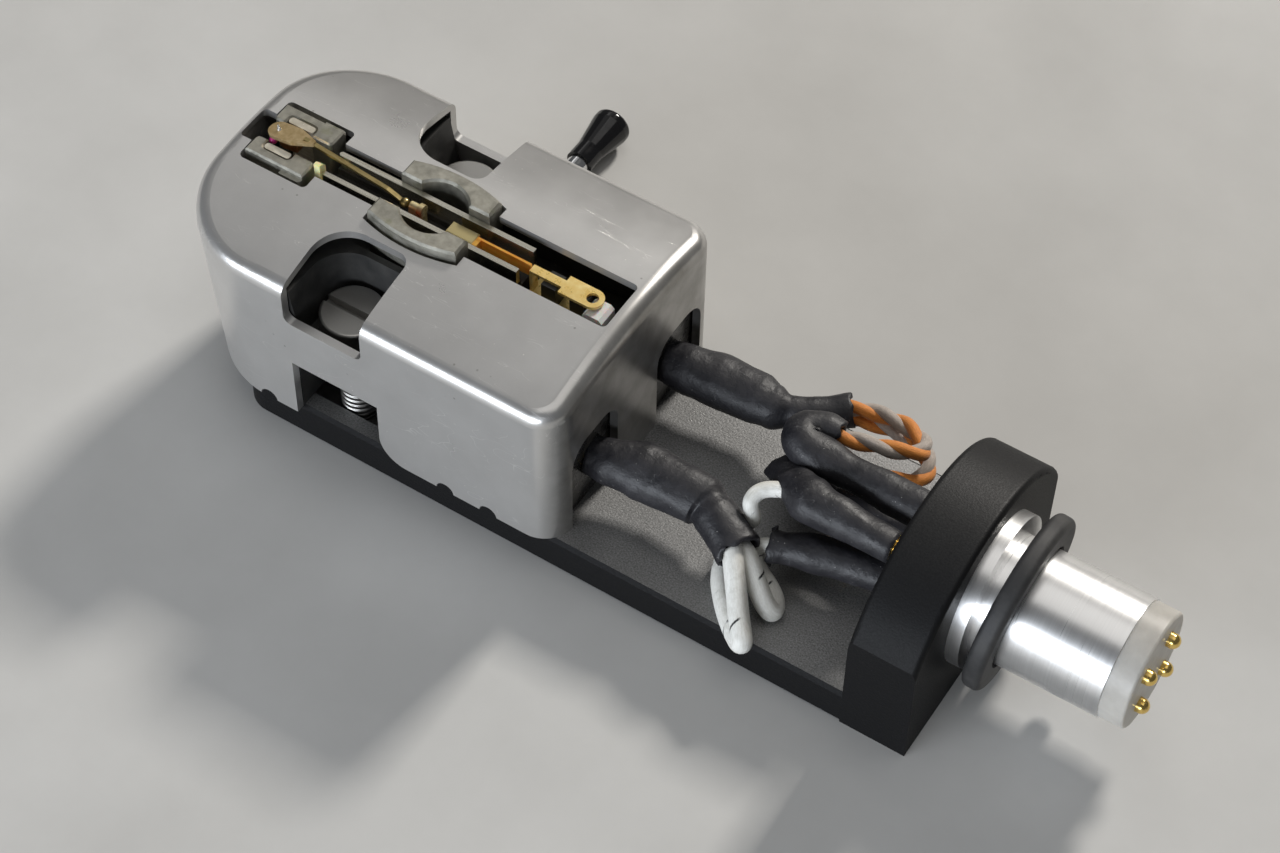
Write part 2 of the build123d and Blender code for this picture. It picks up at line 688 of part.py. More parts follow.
# Paddle at the arm's end, dipping towards its rounded front, with the coil and a bead of lacquer under it
# and the diamond on it. All of these are drawn level and leaned together about the paddle's rear end.
lean = Pos(paddle_rear, 0, paddle_level) * Rot(0, -paddle_dip, 0) * Pos(-paddle_rear, 0, -paddle_level)
paddle_front = paddle_rear - paddle_length
taper_start = paddle_rear - paddle_taper
paddle_neck = paddle_rear + paddle_lap
paddle_plan = Pos(paddle_rear - paddle_length / 2, 0) * SlotOverall(paddle_length, paddle_width)
broad_part = Pos((paddle_front + taper_start) / 2, 0) * Rectangle(taper_start - paddle_front, paddle_width * 2)
shoulder = Polyline((taper_start, paddle_width / 2), (paddle_neck, arm_width / 2),
                    (paddle_neck, -arm_width / 2), (taper_start, -paddle_width / 2), close=True)
paddle_middle = paddle_rear - paddle_length / 2
straight_part = Pos((taper_start + paddle_middle) / 2, 0) * Rectangle(taper_start - paddle_middle, paddle_width)
paddle_plan = (paddle_plan & broad_part) + straight_part + make_face(shoulder)
paddle = lean * upright(paddle_plan, paddle_foot, paddle_level)
paddle = paddle - arm
nodes["stylus_arm"] = arm
nodes["stylus_paddle"] = paddle
coil_x = (recess_front + recess_rear) / 2
coil_front = coil_x - coil_length / 2
coil = block(coil_front, coil_front + coil_length, -coil_width / 2, coil_width / 2, paddle_foot - coil_height,
             paddle_foot)
coil = fillet(coil.edges().filter_by(Axis.Y), coil_edge_radius)
nodes["moving_coil"] = lean * coil
diamond = Cone(diamond_base / 2, diamond_tip / 2, diamond_height)
diamond = Pos(paddle_front + diamond_inset, 0, paddle_level + diamond_height / 2) * diamond
nodes["stylus_diamond"] = lean * diamond
bead_radius = bead_diameter / 2
bead_x = coil_front - bead_gap - bead_radius
bead_y = bead_radius + bead_gap - pole_gap / 2
bead = Pos(bead_x, bead_y, paddle_foot - bead_radius) * Sphere(bead_radius)
nodes["stylus_bead"] = lean * bead

# Damper: an elastomer block at the near rail's nose, just under the arm.
damper_x = -rail_front - damper_length / 2
damper_top = paddle_foot - damper_gap
damper = block(damper_x - damper_length / 2, damper_x + damper_length / 2 - seat_gap, -carrier_half,
               -carrier_half + damper_width, floor_level, damper_top)
damper = chamfer(damper.edges().group_by(Axis.Z)[-1].sort_by(Axis.Y)[-1], damper_chamfer)
nodes["damper_block"] = damper

# Tension mechanism behind the yokes: clear clip, leaf strip on edge, folded bracket on its spacers.
clip_x = -clip_front
clip_piece = block(clip_x, clip_x + clip_length, -clip_width / 2, clip_width / 2 - strip_thickness * 2,
                   groove_floor, rail_foot + clip_height)
clip_piece = fillet(clip_piece.edges().group_by(Axis.Z)[-1], clip_edge_radius)
strip_front = clip_x + clip_length + seat_gap
neck_front = -bracket_front
strip_rear = neck_front - seat_gap
strip_level = rail_level - strip_drop
strip_foot = strip_level - strip_depth
strip = block(strip_front, strip_rear, -strip_thickness / 2, strip_thickness / 2, strip_foot, strip_level)
strip = strip + block(strip_front, strip_front + strip_thickness * 2, -clip_width / 2, strip_thickness / 2,
                      strip_foot, strip_level)
tab_level = seat_level + bracket_height
tab_middle = (-bracket_tab_front - bracket_end) / 2
tab_plan = Pos(tab_middle, 0) * Rectangle(bracket_tab_front - bracket_end, bracket_width)
tab_end = tab_plan.vertices().group_by(Axis.X)[-1]
tab_plan = fillet(tab_end, bracket_width / 2 - seat_gap)
neck_middle = (neck_front - bracket_tab_front) / 2
neck_plan = Pos(neck_middle, 0) * Rectangle(-bracket_tab_front - neck_front, bracket_neck_width)
hole_x = -bracket_end - bracket_width / 2
bracket = upright(tab_plan + neck_plan, tab_level - bracket_thickness, tab_level)
bracket = bracket - rod_z(hole_x, 0, tab_level - 1, tab_level + 1, bracket_hole_diameter / 2)
foot_half = bracket_foot_width / 2
bracket = bracket + block(neck_front, neck_front + bracket_thickness, -bracket_neck_width / 2,
                          bracket_neck_width / 2, shelf_level, tab_level)
foot_rear = -bracket_end - bracket_foot_setback
foot_top = shelf_level + bracket_thickness
bracket = bracket + block(neck_front, foot_rear, -foot_half, foot_half, shelf_level, foot_top)
nodes["resin_clip"] = clip_piece
nodes["tension_strip"] = strip
nodes["tension_bracket"] = bracket
for name, setback in (("front", spacer_front_setback), ("rear", spacer_rear_setback)):
    spacer = block(-setback, -setback + spacer_length, -spacer_width / 2, spacer_width / 2, foot_top,
                   tab_level - bracket_thickness)
    nodes["spacer_block_" + name] = spacer
wedge_front = foot_rear + seat_gap
wedge_half = wedge_block_width / 2
wedge = block(wedge_front, wedge_front + wedge_block_length, -wedge_half - wedge_block_offset,
              wedge_half - wedge_block_offset, shelf_level, shelf_level + wedge_block_height)
wedge = chamfer(wedge.edges().group_by(Axis.Z)[-1].filter_by(Axis.Y), wedge_block_break)
nodes["wedge_block"] = wedge

# Terminal block: dark moulding behind the rear openings, with four terminal pins.
terminal_rear = cover_rear - chassis_inset
terminal_block = cover_form(chassis_inset) & block(
    chassis_rear, terminal_rear + 1, -half_cover, half_cover, seat_level, seat_level + terminal_block_height)
terminal_mid = seat_level + terminal_level
pins = []
for side in (-1, 1):
    for level in (-1, 1):
        z = terminal_mid + level * terminal_pitch / 2
        y = side * terminal_offset
        terminal_block = terminal_block - rod_x(terminal_rear - terminal_depth, terminal_rear + 1, y, z,
                                                terminal_diameter / 2 + pin_clearance)
        pins.append(rod_x(terminal_rear - terminal_depth, cover_rear + terminal_reach, y, z,
                          terminal_diameter / 2))
nodes["terminal_block"] = terminal_block
nodes["terminal_pins"] = Compound(children=[Part(pin.wrapped) for pin in pins])

# Leads: each runs from its terminal through the fat sleeve, round its loop and into its clip's sleeve.
post_end = -flange_thickness - post_reach
clip_front_end = -flange_thickness - lead_clip_gap
clip_tail = clip_front_end - lead_clip_length
sleeve_front_end = -flange_thickness - clip_sleeve_gap
lead_start = cover_rear + terminal_reach
far_run = ((-21.6, terminal_offset), (-19.4, 5.3), (-17.2, 4.95), (-14.1, 7.3))
near_run = ((-23.4, -terminal_offset), (-21.6, -3.6), (-17.9, -3.7), (-14.2, -5.1))
far_bends = (3.0, 3.0, 3.0)
near_bends = (2.4, 2.4, 4.0)
sleeve_start = terminal_rear + seat_gap
for name, run, bends, side in (("far", far_run, far_bends, 1), ("near", near_run, near_bends, -1)):
    points = [(sleeve_start, side * terminal_offset, terminal_mid)] + [(x, y, terminal_mid) for x, y in run]
    nodes["lead_sleeve_" + name] = hose_along(route(points, bends), sleeve_radius, sleeve_bore)
upper = post_offset
lower = -post_offset
high = terminal_mid + terminal_pitch / 2
low = terminal_mid - terminal_pitch / 2
lead_loops = {
    "far_upper": (far_run, high, far_bends, (
        (-12.3, 8.1, high + 0.1), (-9.9, 8.1, high + 0.4), (-8.3, 6.6, upper - 0.8), (-9.0, 5.0, upper - 0.2),
        (-11.0, 4.5, upper), (-13.2, 4.1, upper), (-13.4, post_offset, upper)), (1.3, 1.3)),
    "far_lower": (far_run, low, far_bends, (
        (-12.1, 8.3, low - 0.1), (-9.0, 8.2, low - 0.3), (-7.3, 6.6, lower), (-7.9, 4.9, lower),
        (-10.0, 4.35, lower), (-13.2, 4.2, lower), (-13.3, post_offset, lower)), (1.25, 1.25)),
    "near_lower": (near_run, low, near_bends, (
        (-13.0, -5.1, low - 0.6), (-11.7, -5.8, low - 1.7), (-10.6, -5.4, low - 2.3), (-10.4, -4.2, low - 2.3),
        (-11.6, -3.3, low - 1.8), (-13.4, -3.2, low - 1.2), (-14.6, -2.6, low - 0.7), (-15.0, -1.9, low - 0.35),
        (-14.3, -1.35, lower), (-11.2, -post_offset, lower)), (6.0,)),
    "near_upper": (near_run, high, near_bends, (
        (-13.5, -5.9, high - 0.6), (-13.8, -7.3, high - 2.2), (-13.0, -8.9, high - 3.4),
        (-12.0, -9.6, high - 3.5), (-11.5, -8.8, high - 3.5), (-12.3, -7.2, high - 2.6),
        (-12.5, -5.9, high - 0.8), (-12.4, -4.6, high + 0.1), (-13.6, -3.4, high + 1.0),
        (-15.2, -2.6, high + 1.5), (-15.7, -1.8, high + 1.75), (-15.0, -1.1, upper),
        (-11.2, -post_offset, upper)), (6.0,)),
}
hooks = {
    "far_upper": ((-11.66, 4.38, upper), (-13.2, 4.1, upper), (-13.4, post_offset, upper)),
    "far_lower": ((-11.44, 4.2825, lower), (-13.2, 4.2, lower), (-13.3, post_offset, lower)),
    "near_lower": ((-13.68, -1.39, lower), (-11.2, -post_offset, lower)),
    "near_upper": ((-14.43, -1.1675, upper), (-11.2, -post_offset, upper)),
}
clips = []
for name, (run, level, bends, loop, hook_bends) in lead_loops.items():
    side = 1 if run is far_run else -1
    row = post_offset if name.endswith("upper") else -post_offset
    points = [(lead_start, side * terminal_offset, level)] + [(x, y, level) for x, y in run] + list(loop)
    points.append((clip_tail, side * post_offset, row))
    all_bends = easy_bends(points)
    last = len(all_bends) - len(hook_bends)
    all_bends = list(bends) + all_bends[len(bends):last] + list(hook_bends)
    nodes["lead_wire_" + name] = bar_along(route(points, all_bends), lead_radius)
    hook_points = list(hooks[name]) + [(sleeve_front_end, side * post_offset, row)]
    hook_path = route(hook_points, hook_bends)
    nodes["clip_sleeve_" + name] = hose_along(hook_path, clip_sleeve_radius, clip_sleeve_bore)
    socket = rod_x(clip_tail, clip_front_end, side * post_offset, row, lead_clip_radius)
    socket = socket - rod_x(post_end - pin_clearance, clip_front_end + 1, side * post_offset, row,
                            pin_radius + pin_clearance)
    clips.append(socket)
nodes["lead_clips"] = Compound(children=[Part(clip.wrapped) for clip in clips])

os.makedirs("parts", exist_ok=True)
for name, shape in nodes.items():
    export_step(shape, "parts/" + name + ".step")
    print(name, round(shape.volume, 3))
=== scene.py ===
import math
import bmesh
import bpy
from mathutils import Matrix, Vector, noise


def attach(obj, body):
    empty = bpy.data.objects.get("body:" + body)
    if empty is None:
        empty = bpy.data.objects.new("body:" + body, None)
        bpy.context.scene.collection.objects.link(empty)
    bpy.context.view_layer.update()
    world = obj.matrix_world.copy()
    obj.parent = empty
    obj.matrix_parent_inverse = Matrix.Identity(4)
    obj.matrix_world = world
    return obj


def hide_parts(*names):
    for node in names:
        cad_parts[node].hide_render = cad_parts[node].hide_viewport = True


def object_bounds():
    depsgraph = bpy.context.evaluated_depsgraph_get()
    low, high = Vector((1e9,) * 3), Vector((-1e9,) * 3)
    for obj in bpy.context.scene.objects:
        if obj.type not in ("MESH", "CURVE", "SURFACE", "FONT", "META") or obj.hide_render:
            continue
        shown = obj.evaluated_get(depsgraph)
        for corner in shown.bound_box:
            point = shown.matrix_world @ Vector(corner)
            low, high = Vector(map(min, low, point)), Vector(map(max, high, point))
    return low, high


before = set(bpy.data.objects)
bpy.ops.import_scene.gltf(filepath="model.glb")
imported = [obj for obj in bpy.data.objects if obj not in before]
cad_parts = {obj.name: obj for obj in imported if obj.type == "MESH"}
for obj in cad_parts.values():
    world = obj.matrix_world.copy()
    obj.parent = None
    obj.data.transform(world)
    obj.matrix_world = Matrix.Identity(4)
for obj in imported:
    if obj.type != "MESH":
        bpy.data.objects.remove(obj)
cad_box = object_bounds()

# Headshell: plate and arched flange milled from one bar of aluminium, bead blasted and
# anodised black, so that the plate sparkles like fine sand where a light falls along it.
micron = 0.000001
headshell_black = (0.006, 0.006, 0.0065, 1.0)
headshell_dust_sheen = (0.15, 0.147, 0.14, 1.0)
blast_grain = 7500.0
blast_depth = 20 * micron
sand_grain = 9000.0
dust_patch = 260.0
plate_glint_top = -0.0042
flange_glint_start = -0.0036
flange_glint = 0.06


def new_finish(name, colour, roughness, metallic=0.0):
    """A finish, its nodes, its shader and the piece's own coordinates.

    The plain colour and roughness hold where no pattern takes their place.
    """
    finish = bpy.data.materials.new(name)
    finish.use_nodes = True
    tree = finish.node_tree
    shader = tree.nodes["Principled BSDF"]
    shader.inputs["Base Color"].default_value = colour
    shader.inputs["Roughness"].default_value = roughness
    shader.inputs["Metallic"].default_value = metallic
    place = tree.nodes.new("ShaderNodeTexCoord")
    return finish, tree, shader, place.outputs["Object"]


def mottle(tree, place, scale, detail=4.0, rough=0.6):
    """A cloudy pattern between 0 and 1, with its patches counted to the metre."""
    cloud = tree.nodes.new("ShaderNodeTexNoise")
    cloud.inputs["Scale"].default_value = scale
    cloud.inputs["Detail"].default_value = detail
    cloud.inputs["Roughness"].default_value = rough
    tree.links.new(place, cloud.inputs["Vector"])
    return cloud.outputs["Fac"]


def spread(tree, pattern, low, high, to_low=0.0, to_high=1.0):
    """A pattern's range from low to high, laid out anew."""
    ramp = tree.nodes.new("ShaderNodeMapRange")
    ramp.inputs["From Min"].default_value = low
    ramp.inputs["From Max"].default_value = high
    ramp.inputs["To Min"].default_value = to_low
    ramp.inputs["To Max"].default_value = to_high
    tree.links.new(pattern, ramp.inputs["Value"])
    return ramp.outputs["Result"]


def tint(tree, share, one, two):
    """A colour that goes from one to two with a pattern."""
    mix = tree.nodes.new("ShaderNodeMix")
    mix.data_type = "RGBA"
    for socket, colour in (("A", one), ("B", two)):
        inlet = next(s for s in mix.inputs if s.name == socket and s.type == "RGBA")
        if isinstance(colour, tuple):
            inlet.default_value = colour
        else:
            tree.links.new(colour, inlet)
    tree.links.new(share, mix.inputs["Factor"])
    return next(s for s in mix.outputs if s.type == "RGBA")


def worked(tree, operation, one, two=None):
    """A pattern put through a sum, alone, with a number or with another pattern."""
    result = tree.nodes.new("ShaderNodeMath")
    result.operation = operation
    tree.links.new(one, result.inputs[0])
    if isinstance(two, float):
        result.inputs[1].default_value = two
    elif two is not None:
        tree.links.new(two, result.inputs[1])
    return result.outputs["Value"]


def times(tree, one, two):
    """A pattern multiplied by a number or by another pattern."""
    return worked(tree, "MULTIPLY", one, two)


def paint(tree, shader, colour):
    """Gives the finish a colour pattern."""
    tree.links.new(colour, shader.inputs["Base Color"])


def polish(tree, shader, pattern, bright, dull, low=0.3, high=0.7):
    """Gives the finish a roughness from bright to dull over a pattern's range."""
    tree.links.new(spread(tree, pattern, low, high, bright, dull), shader.inputs["Roughness"])


def relief(tree, shader, height, depth, strength=1.0, after=None):
    """Raises the surface by a pattern, on top of an earlier relief if there is one."""
    bump = tree.nodes.new("ShaderNodeBump")
    bump.inputs["Distance"].default_value = depth
    bump.inputs["Strength"].default_value = strength
    tree.links.new(height, bump.inputs["Height"])
    if after is not None:
        tree.links.new(after, bump.inputs["Normal"])
    tree.links.new(bump.outputs["Normal"], shader.inputs["Normal"])
    return bump.outputs["Normal"]


def along(tree, place, axis):
    """One of three coordinates."""
    split = tree.nodes.new("ShaderNodeSeparateXYZ")
    tree.links.new(place, split.inputs["Vector"])
    return split.outputs[axis]


def facing_up(tree, low, high):
    """1 on surfaces that look up, where dust settles and a sheen is painted, and 0 on the
    others.
    """
    surface = tree.nodes.new("ShaderNodeTexCoord")
    return spread(tree, along(tree, surface.outputs["Normal"], "Z"), low, high)


def coat(node, finish):
    """Puts a finish on a solid of the frame."""
    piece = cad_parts[node]
    piece.data.materials.clear()
    piece.data.materials.append(finish)


black_anodised, tree, shader, place = new_finish("black_anodised", headshell_black, 0.52)
grain = mottle(tree, place, blast_grain, 2.0)
dust = spread(tree, mottle(tree, place, dust_patch, 6.0), 0.35, 0.75, 0.5, 1.0)
sand = spread(tree, mottle(tree, place, sand_grain, 2.0), 0.3, 0.7, 0.4, 1.0)
height = along(tree, place, "Z")
on_plate = spread(tree, height, plate_glint_top, flange_glint_start, 1.0, flange_glint)
upper = times(tree, facing_up(tree, 0.75, 1.0), on_plate)
# The plate's upward faces are lightened partly by dust and partly by a painted sheen of light.
dust_and_sheen = times(tree, times(tree, dust, sand), upper)
paint(tree, shader, tint(tree, dust_and_sheen, headshell_black, headshell_dust_sheen))
polish(tree, shader, grain, 0.48, 0.56)
glint = spread(tree, times(tree, upper, sand), 0.0, 1.0, 0.04, 1.0)
tree.links.new(glint, shader.inputs["Specular IOR Level"])
shader.inputs["IOR"].default_value = 2.2
relief(tree, shader, grain, blast_depth, 0.8)
coat("headshell_body", black_anodised)

# Connector plug: a tube with a collar, turned from aluminium and left with a fine satin lathe
# finish, pressed into the flange. Its steel locating pin is pressed in from the side.
tube_bright = (0.90, 0.897, 0.893, 1.0)
tube_dim = (0.85, 0.847, 0.843, 1.0)
tube_lathe_lines = (9000.0, 30.0, 30.0)
steel_bright = (0.62, 0.61, 0.59, 1.0)
steel_dim = (0.46, 0.45, 0.43, 1.0)
steel_lathe_lines = (500.0, 500.0, 9000.0)


def stretched(tree, place, scale, turn=0.0):
    """The piece's coordinates with a scale of their own along each axis, turned about Z."""
    mapping = tree.nodes.new("ShaderNodeMapping")
    mapping.inputs["Rotation"].default_value = (0.0, 0.0, turn)
    mapping.inputs["Scale"].default_value = scale
    tree.links.new(place, mapping.inputs["Vector"])
    return mapping.outputs["Vector"]


def two_tone(tree, pattern, one, two, low=0.3, high=0.7):
    """A colour that goes from one to two over a pattern's range."""
    return tint(tree, spread(tree, pattern, low, high), one, two)


turned_aluminium, tree, shader, place = new_finish("turned_aluminium", tube_bright, 0.30, 1.0)
lathe = mottle(tree, stretched(tree, place, tube_lathe_lines), 1.0, 3.0)
polish(tree, shader, lathe, 0.27, 0.33)
paint(tree, shader, two_tone(tree, lathe, tube_dim, tube_bright, 0.35, 0.65))
coat("connector_tube", turned_aluminium)

turned_steel, tree, shader, place = new_finish("turned_steel", steel_bright, 0.28, 1.0)
lathe = mottle(tree, stretched(tree, place, steel_lathe_lines), 1.0, 3.0)
paint(tree, shader, two_tone(tree, lathe, steel_dim, steel_bright))
relief(tree, shader, lathe, 6 * micron, 0.4)
coat("locating_pin", turned_steel)

# Insulator: a milky plastic moulding that fills the tube and holds the four contacts apart. It
# is pressed in, stands out a little at the tube's end and lets some light through at its rim.
insulator_dim = (0.44, 0.42, 0.385, 1.0)
insulator_pale = (0.53, 0.51, 0.47, 1.0)
insulator_glow = 900 * micron

milky_plastic, tree, shader, place = new_finish("milky_plastic", insulator_pale, 0.42)
cloud = mottle(tree, place, 900.0, 3.0)
paint(tree, shader, two_tone(tree, cloud, insulator_dim, insulator_pale))
shader.inputs["Subsurface Weight"].default_value = 0.6
shader.inputs["Subsurface Radius"].default_value = (1.0, 0.9, 0.8)
shader.inputs["Subsurface Scale"].default_value = insulator_glow
relief(tree, shader, mottle(tree, place, 6000.0, 2.0), 4 * micron, 0.4)
coat("connector_insulator", milky_plastic)

# Contacts: brass pins plated with gold, domed at the plug's end and worn a little by use. The
# lead clips on their posts and the cartridge's own terminals have the same plating.
gold_bright = (0.88, 0.63, 0.20, 1.0)
gold_worn = (0.72, 0.50, 0.17, 1.0)
sides = ("near", "far")

plated_gold, tree, shader, place = new_finish("plated_gold", gold_bright, 0.22, 1.0)
worn = mottle(tree, place, 2600.0)
paint(tree, shader, two_tone(tree, worn, gold_bright, gold_worn, 0.45, 0.75))
polish(tree, shader, worn, 0.16, 0.32)
for side in sides:
    for row in ("lower", "upper"):
        coat("contact_pin_" + side + "_" + row, plated_gold)
coat("lead_clips", plated_gold)
coat("terminal_pins", plated_gold)

# Gasket: a soft rubber ring pushed over the plug, where it takes up the play at the arm's
# socket. It is dull with handling.
rubber_dark = (0.020, 0.020, 0.021, 1.0)
rubber_bloom = (0.045, 0.044, 0.043, 1.0)

dull_rubber, tree, shader, place = new_finish("dull_rubber", rubber_dark, 0.62)
bloom = mottle(tree, place, 700.0, 5.0)
paint(tree, shader, two_tone(tree, bloom, rubber_dark, rubber_bloom, 0.4, 0.75))
relief(tree, shader, mottle(tree, place, 5200.0, 2.0), 10 * micron, 0.5)
coat("rubber_gasket", dull_rubber)

# Finger lift: a chromed steel rod clamped under the far nut, with a flared tip of glossy black
# plastic pushed on its end.
lift_chrome = (0.78, 0.78, 0.79, 1.0)
lift_black = (0.006, 0.006, 0.007, 1.0)

chrome, tree, shader, place = new_finish("chrome", lift_chrome, 0.10, 1.0)
polish(tree, shader, mottle(tree, place, 1500.0), 0.06, 0.18, 0.35)
coat("finger_lift_rod", chrome)

glossy_black, tree, shader, place = new_finish("glossy_black", lift_black, 0.12)
polish(tree, shader, mottle(tree, place, 1800.0), 0.08, 0.20, 0.35)
coat("finger_lift_tip", glossy_black)

# Mounting screws, nuts and washer: bright steel, turned. The screws' threads show in the
# windows of the cover, so the shank carries a thread relief below the head.
screw_steel = (0.44, 0.43, 0.41, 1.0)
thread_pitch = 0.00045
thread_depth = 80 * micron
thread_end = 0.0026
head_start = 0.0028

threaded_steel, tree, shader, place = new_finish("threaded_steel", screw_steel, 0.32, 1.0)
height = along(tree, place, "Z")
crest = worked(tree, "SINE", times(tree, height, 2 * math.pi / thread_pitch))
groove = times(tree, crest, spread(tree, height, thread_end, head_start, 1.0, 0.0))
polish(tree, shader, mottle(tree, place, 3200.0), 0.30, 0.35)
relief(tree, shader, groove, thread_depth)
for side in sides:
    coat("mounting_screw_" + side, threaded_steel)
    coat("mounting_nut_" + side, turned_steel)
coat("mounting_washer", turned_steel)

# Cover: a thin drawn shell of satin metal, grey in the shade and almost white where the light
# runs along it, with hair scratches, bright specks and a few dark pits from handling. Its rear
# wall, where the sleeves come out, is darkened by painted shade and some soil.
cover_grey = (0.61, 0.60, 0.585, 1.0)
cover_pale = (0.66, 0.65, 0.635, 1.0)
scratch_bright = (0.86, 0.85, 0.83, 1.0)
speck_bright = (0.92, 0.90, 0.86, 1.0)
pit_dark = (0.18, 0.17, 0.15, 1.0)
shade_and_soil_dark = (0.20, 0.19, 0.17, 1.0)
shade_and_soil_start = -0.0266
shade_and_soil_full = -0.0253


def hair_scratches(tree, place, turn, scale, width):
    """Thin broken lines along one direction."""
    lined = stretched(tree, place, scale, turn)
    off_centre = worked(tree, "SUBTRACT", mottle(tree, lined, 1.0, 1.0), 0.5)
    thin = spread(tree, worked(tree, "ABSOLUTE", off_centre), 0.0, width, 1.0, 0.0)
    broken = spread(tree, mottle(tree, lined, 0.37, 3.0), 0.57, 0.63)
    return times(tree, thin, broken)


def specks(tree, place, scale, size):
    """Small round marks scattered over a surface."""
    cells = tree.nodes.new("ShaderNodeTexVoronoi")
    cells.inputs["Scale"].default_value = scale
    tree.links.new(place, cells.inputs["Vector"])
    dots = spread(tree, cells.outputs["Distance"], size * 0.5, size, 1.0, 0.0)
    few = spread(tree, mottle(tree, place, scale * 0.23, 3.0), 0.56, 0.62)
    return times(tree, dots, few)


satin_cover, tree, shader, place = new_finish("satin_cover", cover_grey, 0.29, 0.8)
satin = mottle(tree, place, 9000.0, 3.0)
clouds = mottle(tree, place, 330.0, 6.0)
long_scratches = hair_scratches(tree, place, 0.5, (420.0, 2600.0, 900.0), 0.012)
cross_scratches = hair_scratches(tree, place, -0.9, (360.0, 2200.0, 800.0), 0.010)
bright_specks = specks(tree, place, 1700.0, 0.10)
dark_pits = specks(tree, stretched(tree, place, (0.8, 0.8, 0.8)), 1150.0, 0.09)
shade = two_tone(tree, clouds, cover_grey, cover_pale)
for marks, strength, colour in ((long_scratches, 0.7, scratch_bright),
                                (cross_scratches, 0.6, scratch_bright),
                                (bright_specks, 0.8, speck_bright),
                                (dark_pits, 0.55, pit_dark)):
    shade = tint(tree, times(tree, marks, strength), shade, colour)
# Painted shade, with some soil, darkens the rear wall.
rear_wall = spread(tree, along(tree, place, "X"), shade_and_soil_start, shade_and_soil_full)
shaded_and_soiled = times(tree, rear_wall, spread(tree, clouds, 0.3, 0.65, 0.35, 0.85))
paint(tree, shader, tint(tree, shaded_and_soiled, shade, shade_and_soil_dark))
polish(tree, shader, clouds, 0.27, 0.31, 0.25, 0.75)
fine = relief(tree, shader, satin, 2.5 * micron, 0.3)
relief(tree, shader, long_scratches, 6 * micron, 0.5, fine)
coat("cover_shell", satin_cover)

# Chassis and terminal block: the chassis is moulded in dark plastic, carries what lies inside
# the cover and holds the steel magnet block. Cured dark resin closes the terminal block's rear.
moulding_black = (0.014, 0.014, 0.014, 1.0)
moulding_grey = (0.036, 0.035, 0.033, 1.0)
resin_black = (0.014, 0.014, 0.014, 1.0)
resin_brown = (0.055, 0.050, 0.044, 1.0)

dark_moulding, tree, shader, place = new_finish("dark_moulding", moulding_grey, 0.48)
cloud = mottle(tree, place, 800.0, 5.0)
paint(tree, shader, two_tone(tree, cloud, moulding_black, moulding_grey))
relief(tree, shader, mottle(tree, place, 4200.0, 3.0), 12 * micron, 0.5)
coat("chassis", dark_moulding)
coat("magnet_block", turned_steel)

dark_resin, tree, shader, place = new_finish("dark_resin", resin_black, 0.22)
lumps = mottle(tree, place, 900.0, 5.0)
paint(tree, shader, two_tone(tree, lumps, resin_black, resin_brown, 0.35, 0.75))
polish(tree, shader, lumps, 0.14, 0.42)
relief(tree, shader, lumps, 120 * micron, 0.6)
coat("terminal_block", dark_resin)

# Pole pieces and clamp yokes: castings plated in a warm grey, dull and a little stained, which
# stand in pairs along the slot. The rails' carrier under them is moulded like the chassis.
casting_dim = (0.28, 0.27, 0.23, 1.0)
casting_pale = (0.44, 0.425, 0.37, 1.0)
casting_stain = (0.22, 0.23, 0.13, 1.0)

warm_casting, tree, shader, place = new_finish("warm_casting", casting_pale, 0.46, 0.85)
cloud = mottle(tree, place, 1400.0, 6.0)
stain = spread(tree, mottle(tree, place, 520.0), 0.58, 0.70)
shade = two_tone(tree, cloud, casting_dim, casting_pale)
paint(tree, shader, tint(tree, times(tree, stain, 0.6), shade, casting_stain))
polish(tree, shader, cloud, 0.34, 0.52)
relief(tree, shader, mottle(tree, place, 7000.0, 3.0), 12 * micron, 0.6)
for side in sides:
    coat("pole_piece_" + side, warm_casting)
    coat("clamp_yoke_" + side, warm_casting)
coat("rail_carrier", dark_moulding)

# Coil pads: pale potted windings set in the hooks of the pole pieces, with painted glints of
# fine wire where the potting is thin.
winding_dim = (0.46, 0.42, 0.34, 1.0)
winding_pale = (0.70, 0.66, 0.56, 1.0)
painted_wire_glint = (0.95, 0.92, 0.84, 1.0)
winding_lines = (1200.0, 1200.0, 14000.0)

pale_winding, tree, shader, place = new_finish("pale_winding", winding_pale, 0.36, 0.35)
turns = mottle(tree, stretched(tree, place, winding_lines), 1.0, 3.0)
shade = two_tone(tree, turns, winding_dim, winding_pale)
# The near-white specks are painted glints of the fine wire.
paint(tree, shader, tint(tree, specks(tree, place, 5200.0, 0.16), shade, painted_wire_glint))
relief(tree, shader, turns, 30 * micron, 0.6)
for side in sides:
    coat("coil_pad_" + side, pale_winding)

# Rails: two thin strips of plated metal, drawn flat and set on edge in their carrier to guide
# the arm, pale and bright along their top edges.
rail_dim = (0.60, 0.56, 0.46, 1.0)
rail_bright = (0.80, 0.77, 0.68, 1.0)
rail_draw_lines = (180.0, 6000.0, 6000.0)

plated_strip, tree, shader, place = new_finish("plated_strip", rail_bright, 0.24, 1.0)
draw = mottle(tree, stretched(tree, place, rail_draw_lines), 1.0)
paint(tree, shader, two_tone(tree, draw, rail_dim, rail_bright))
relief(tree, shader, draw, 10 * micron, 0.5)
for side in sides:
    coat("rail_" + side, plated_strip)

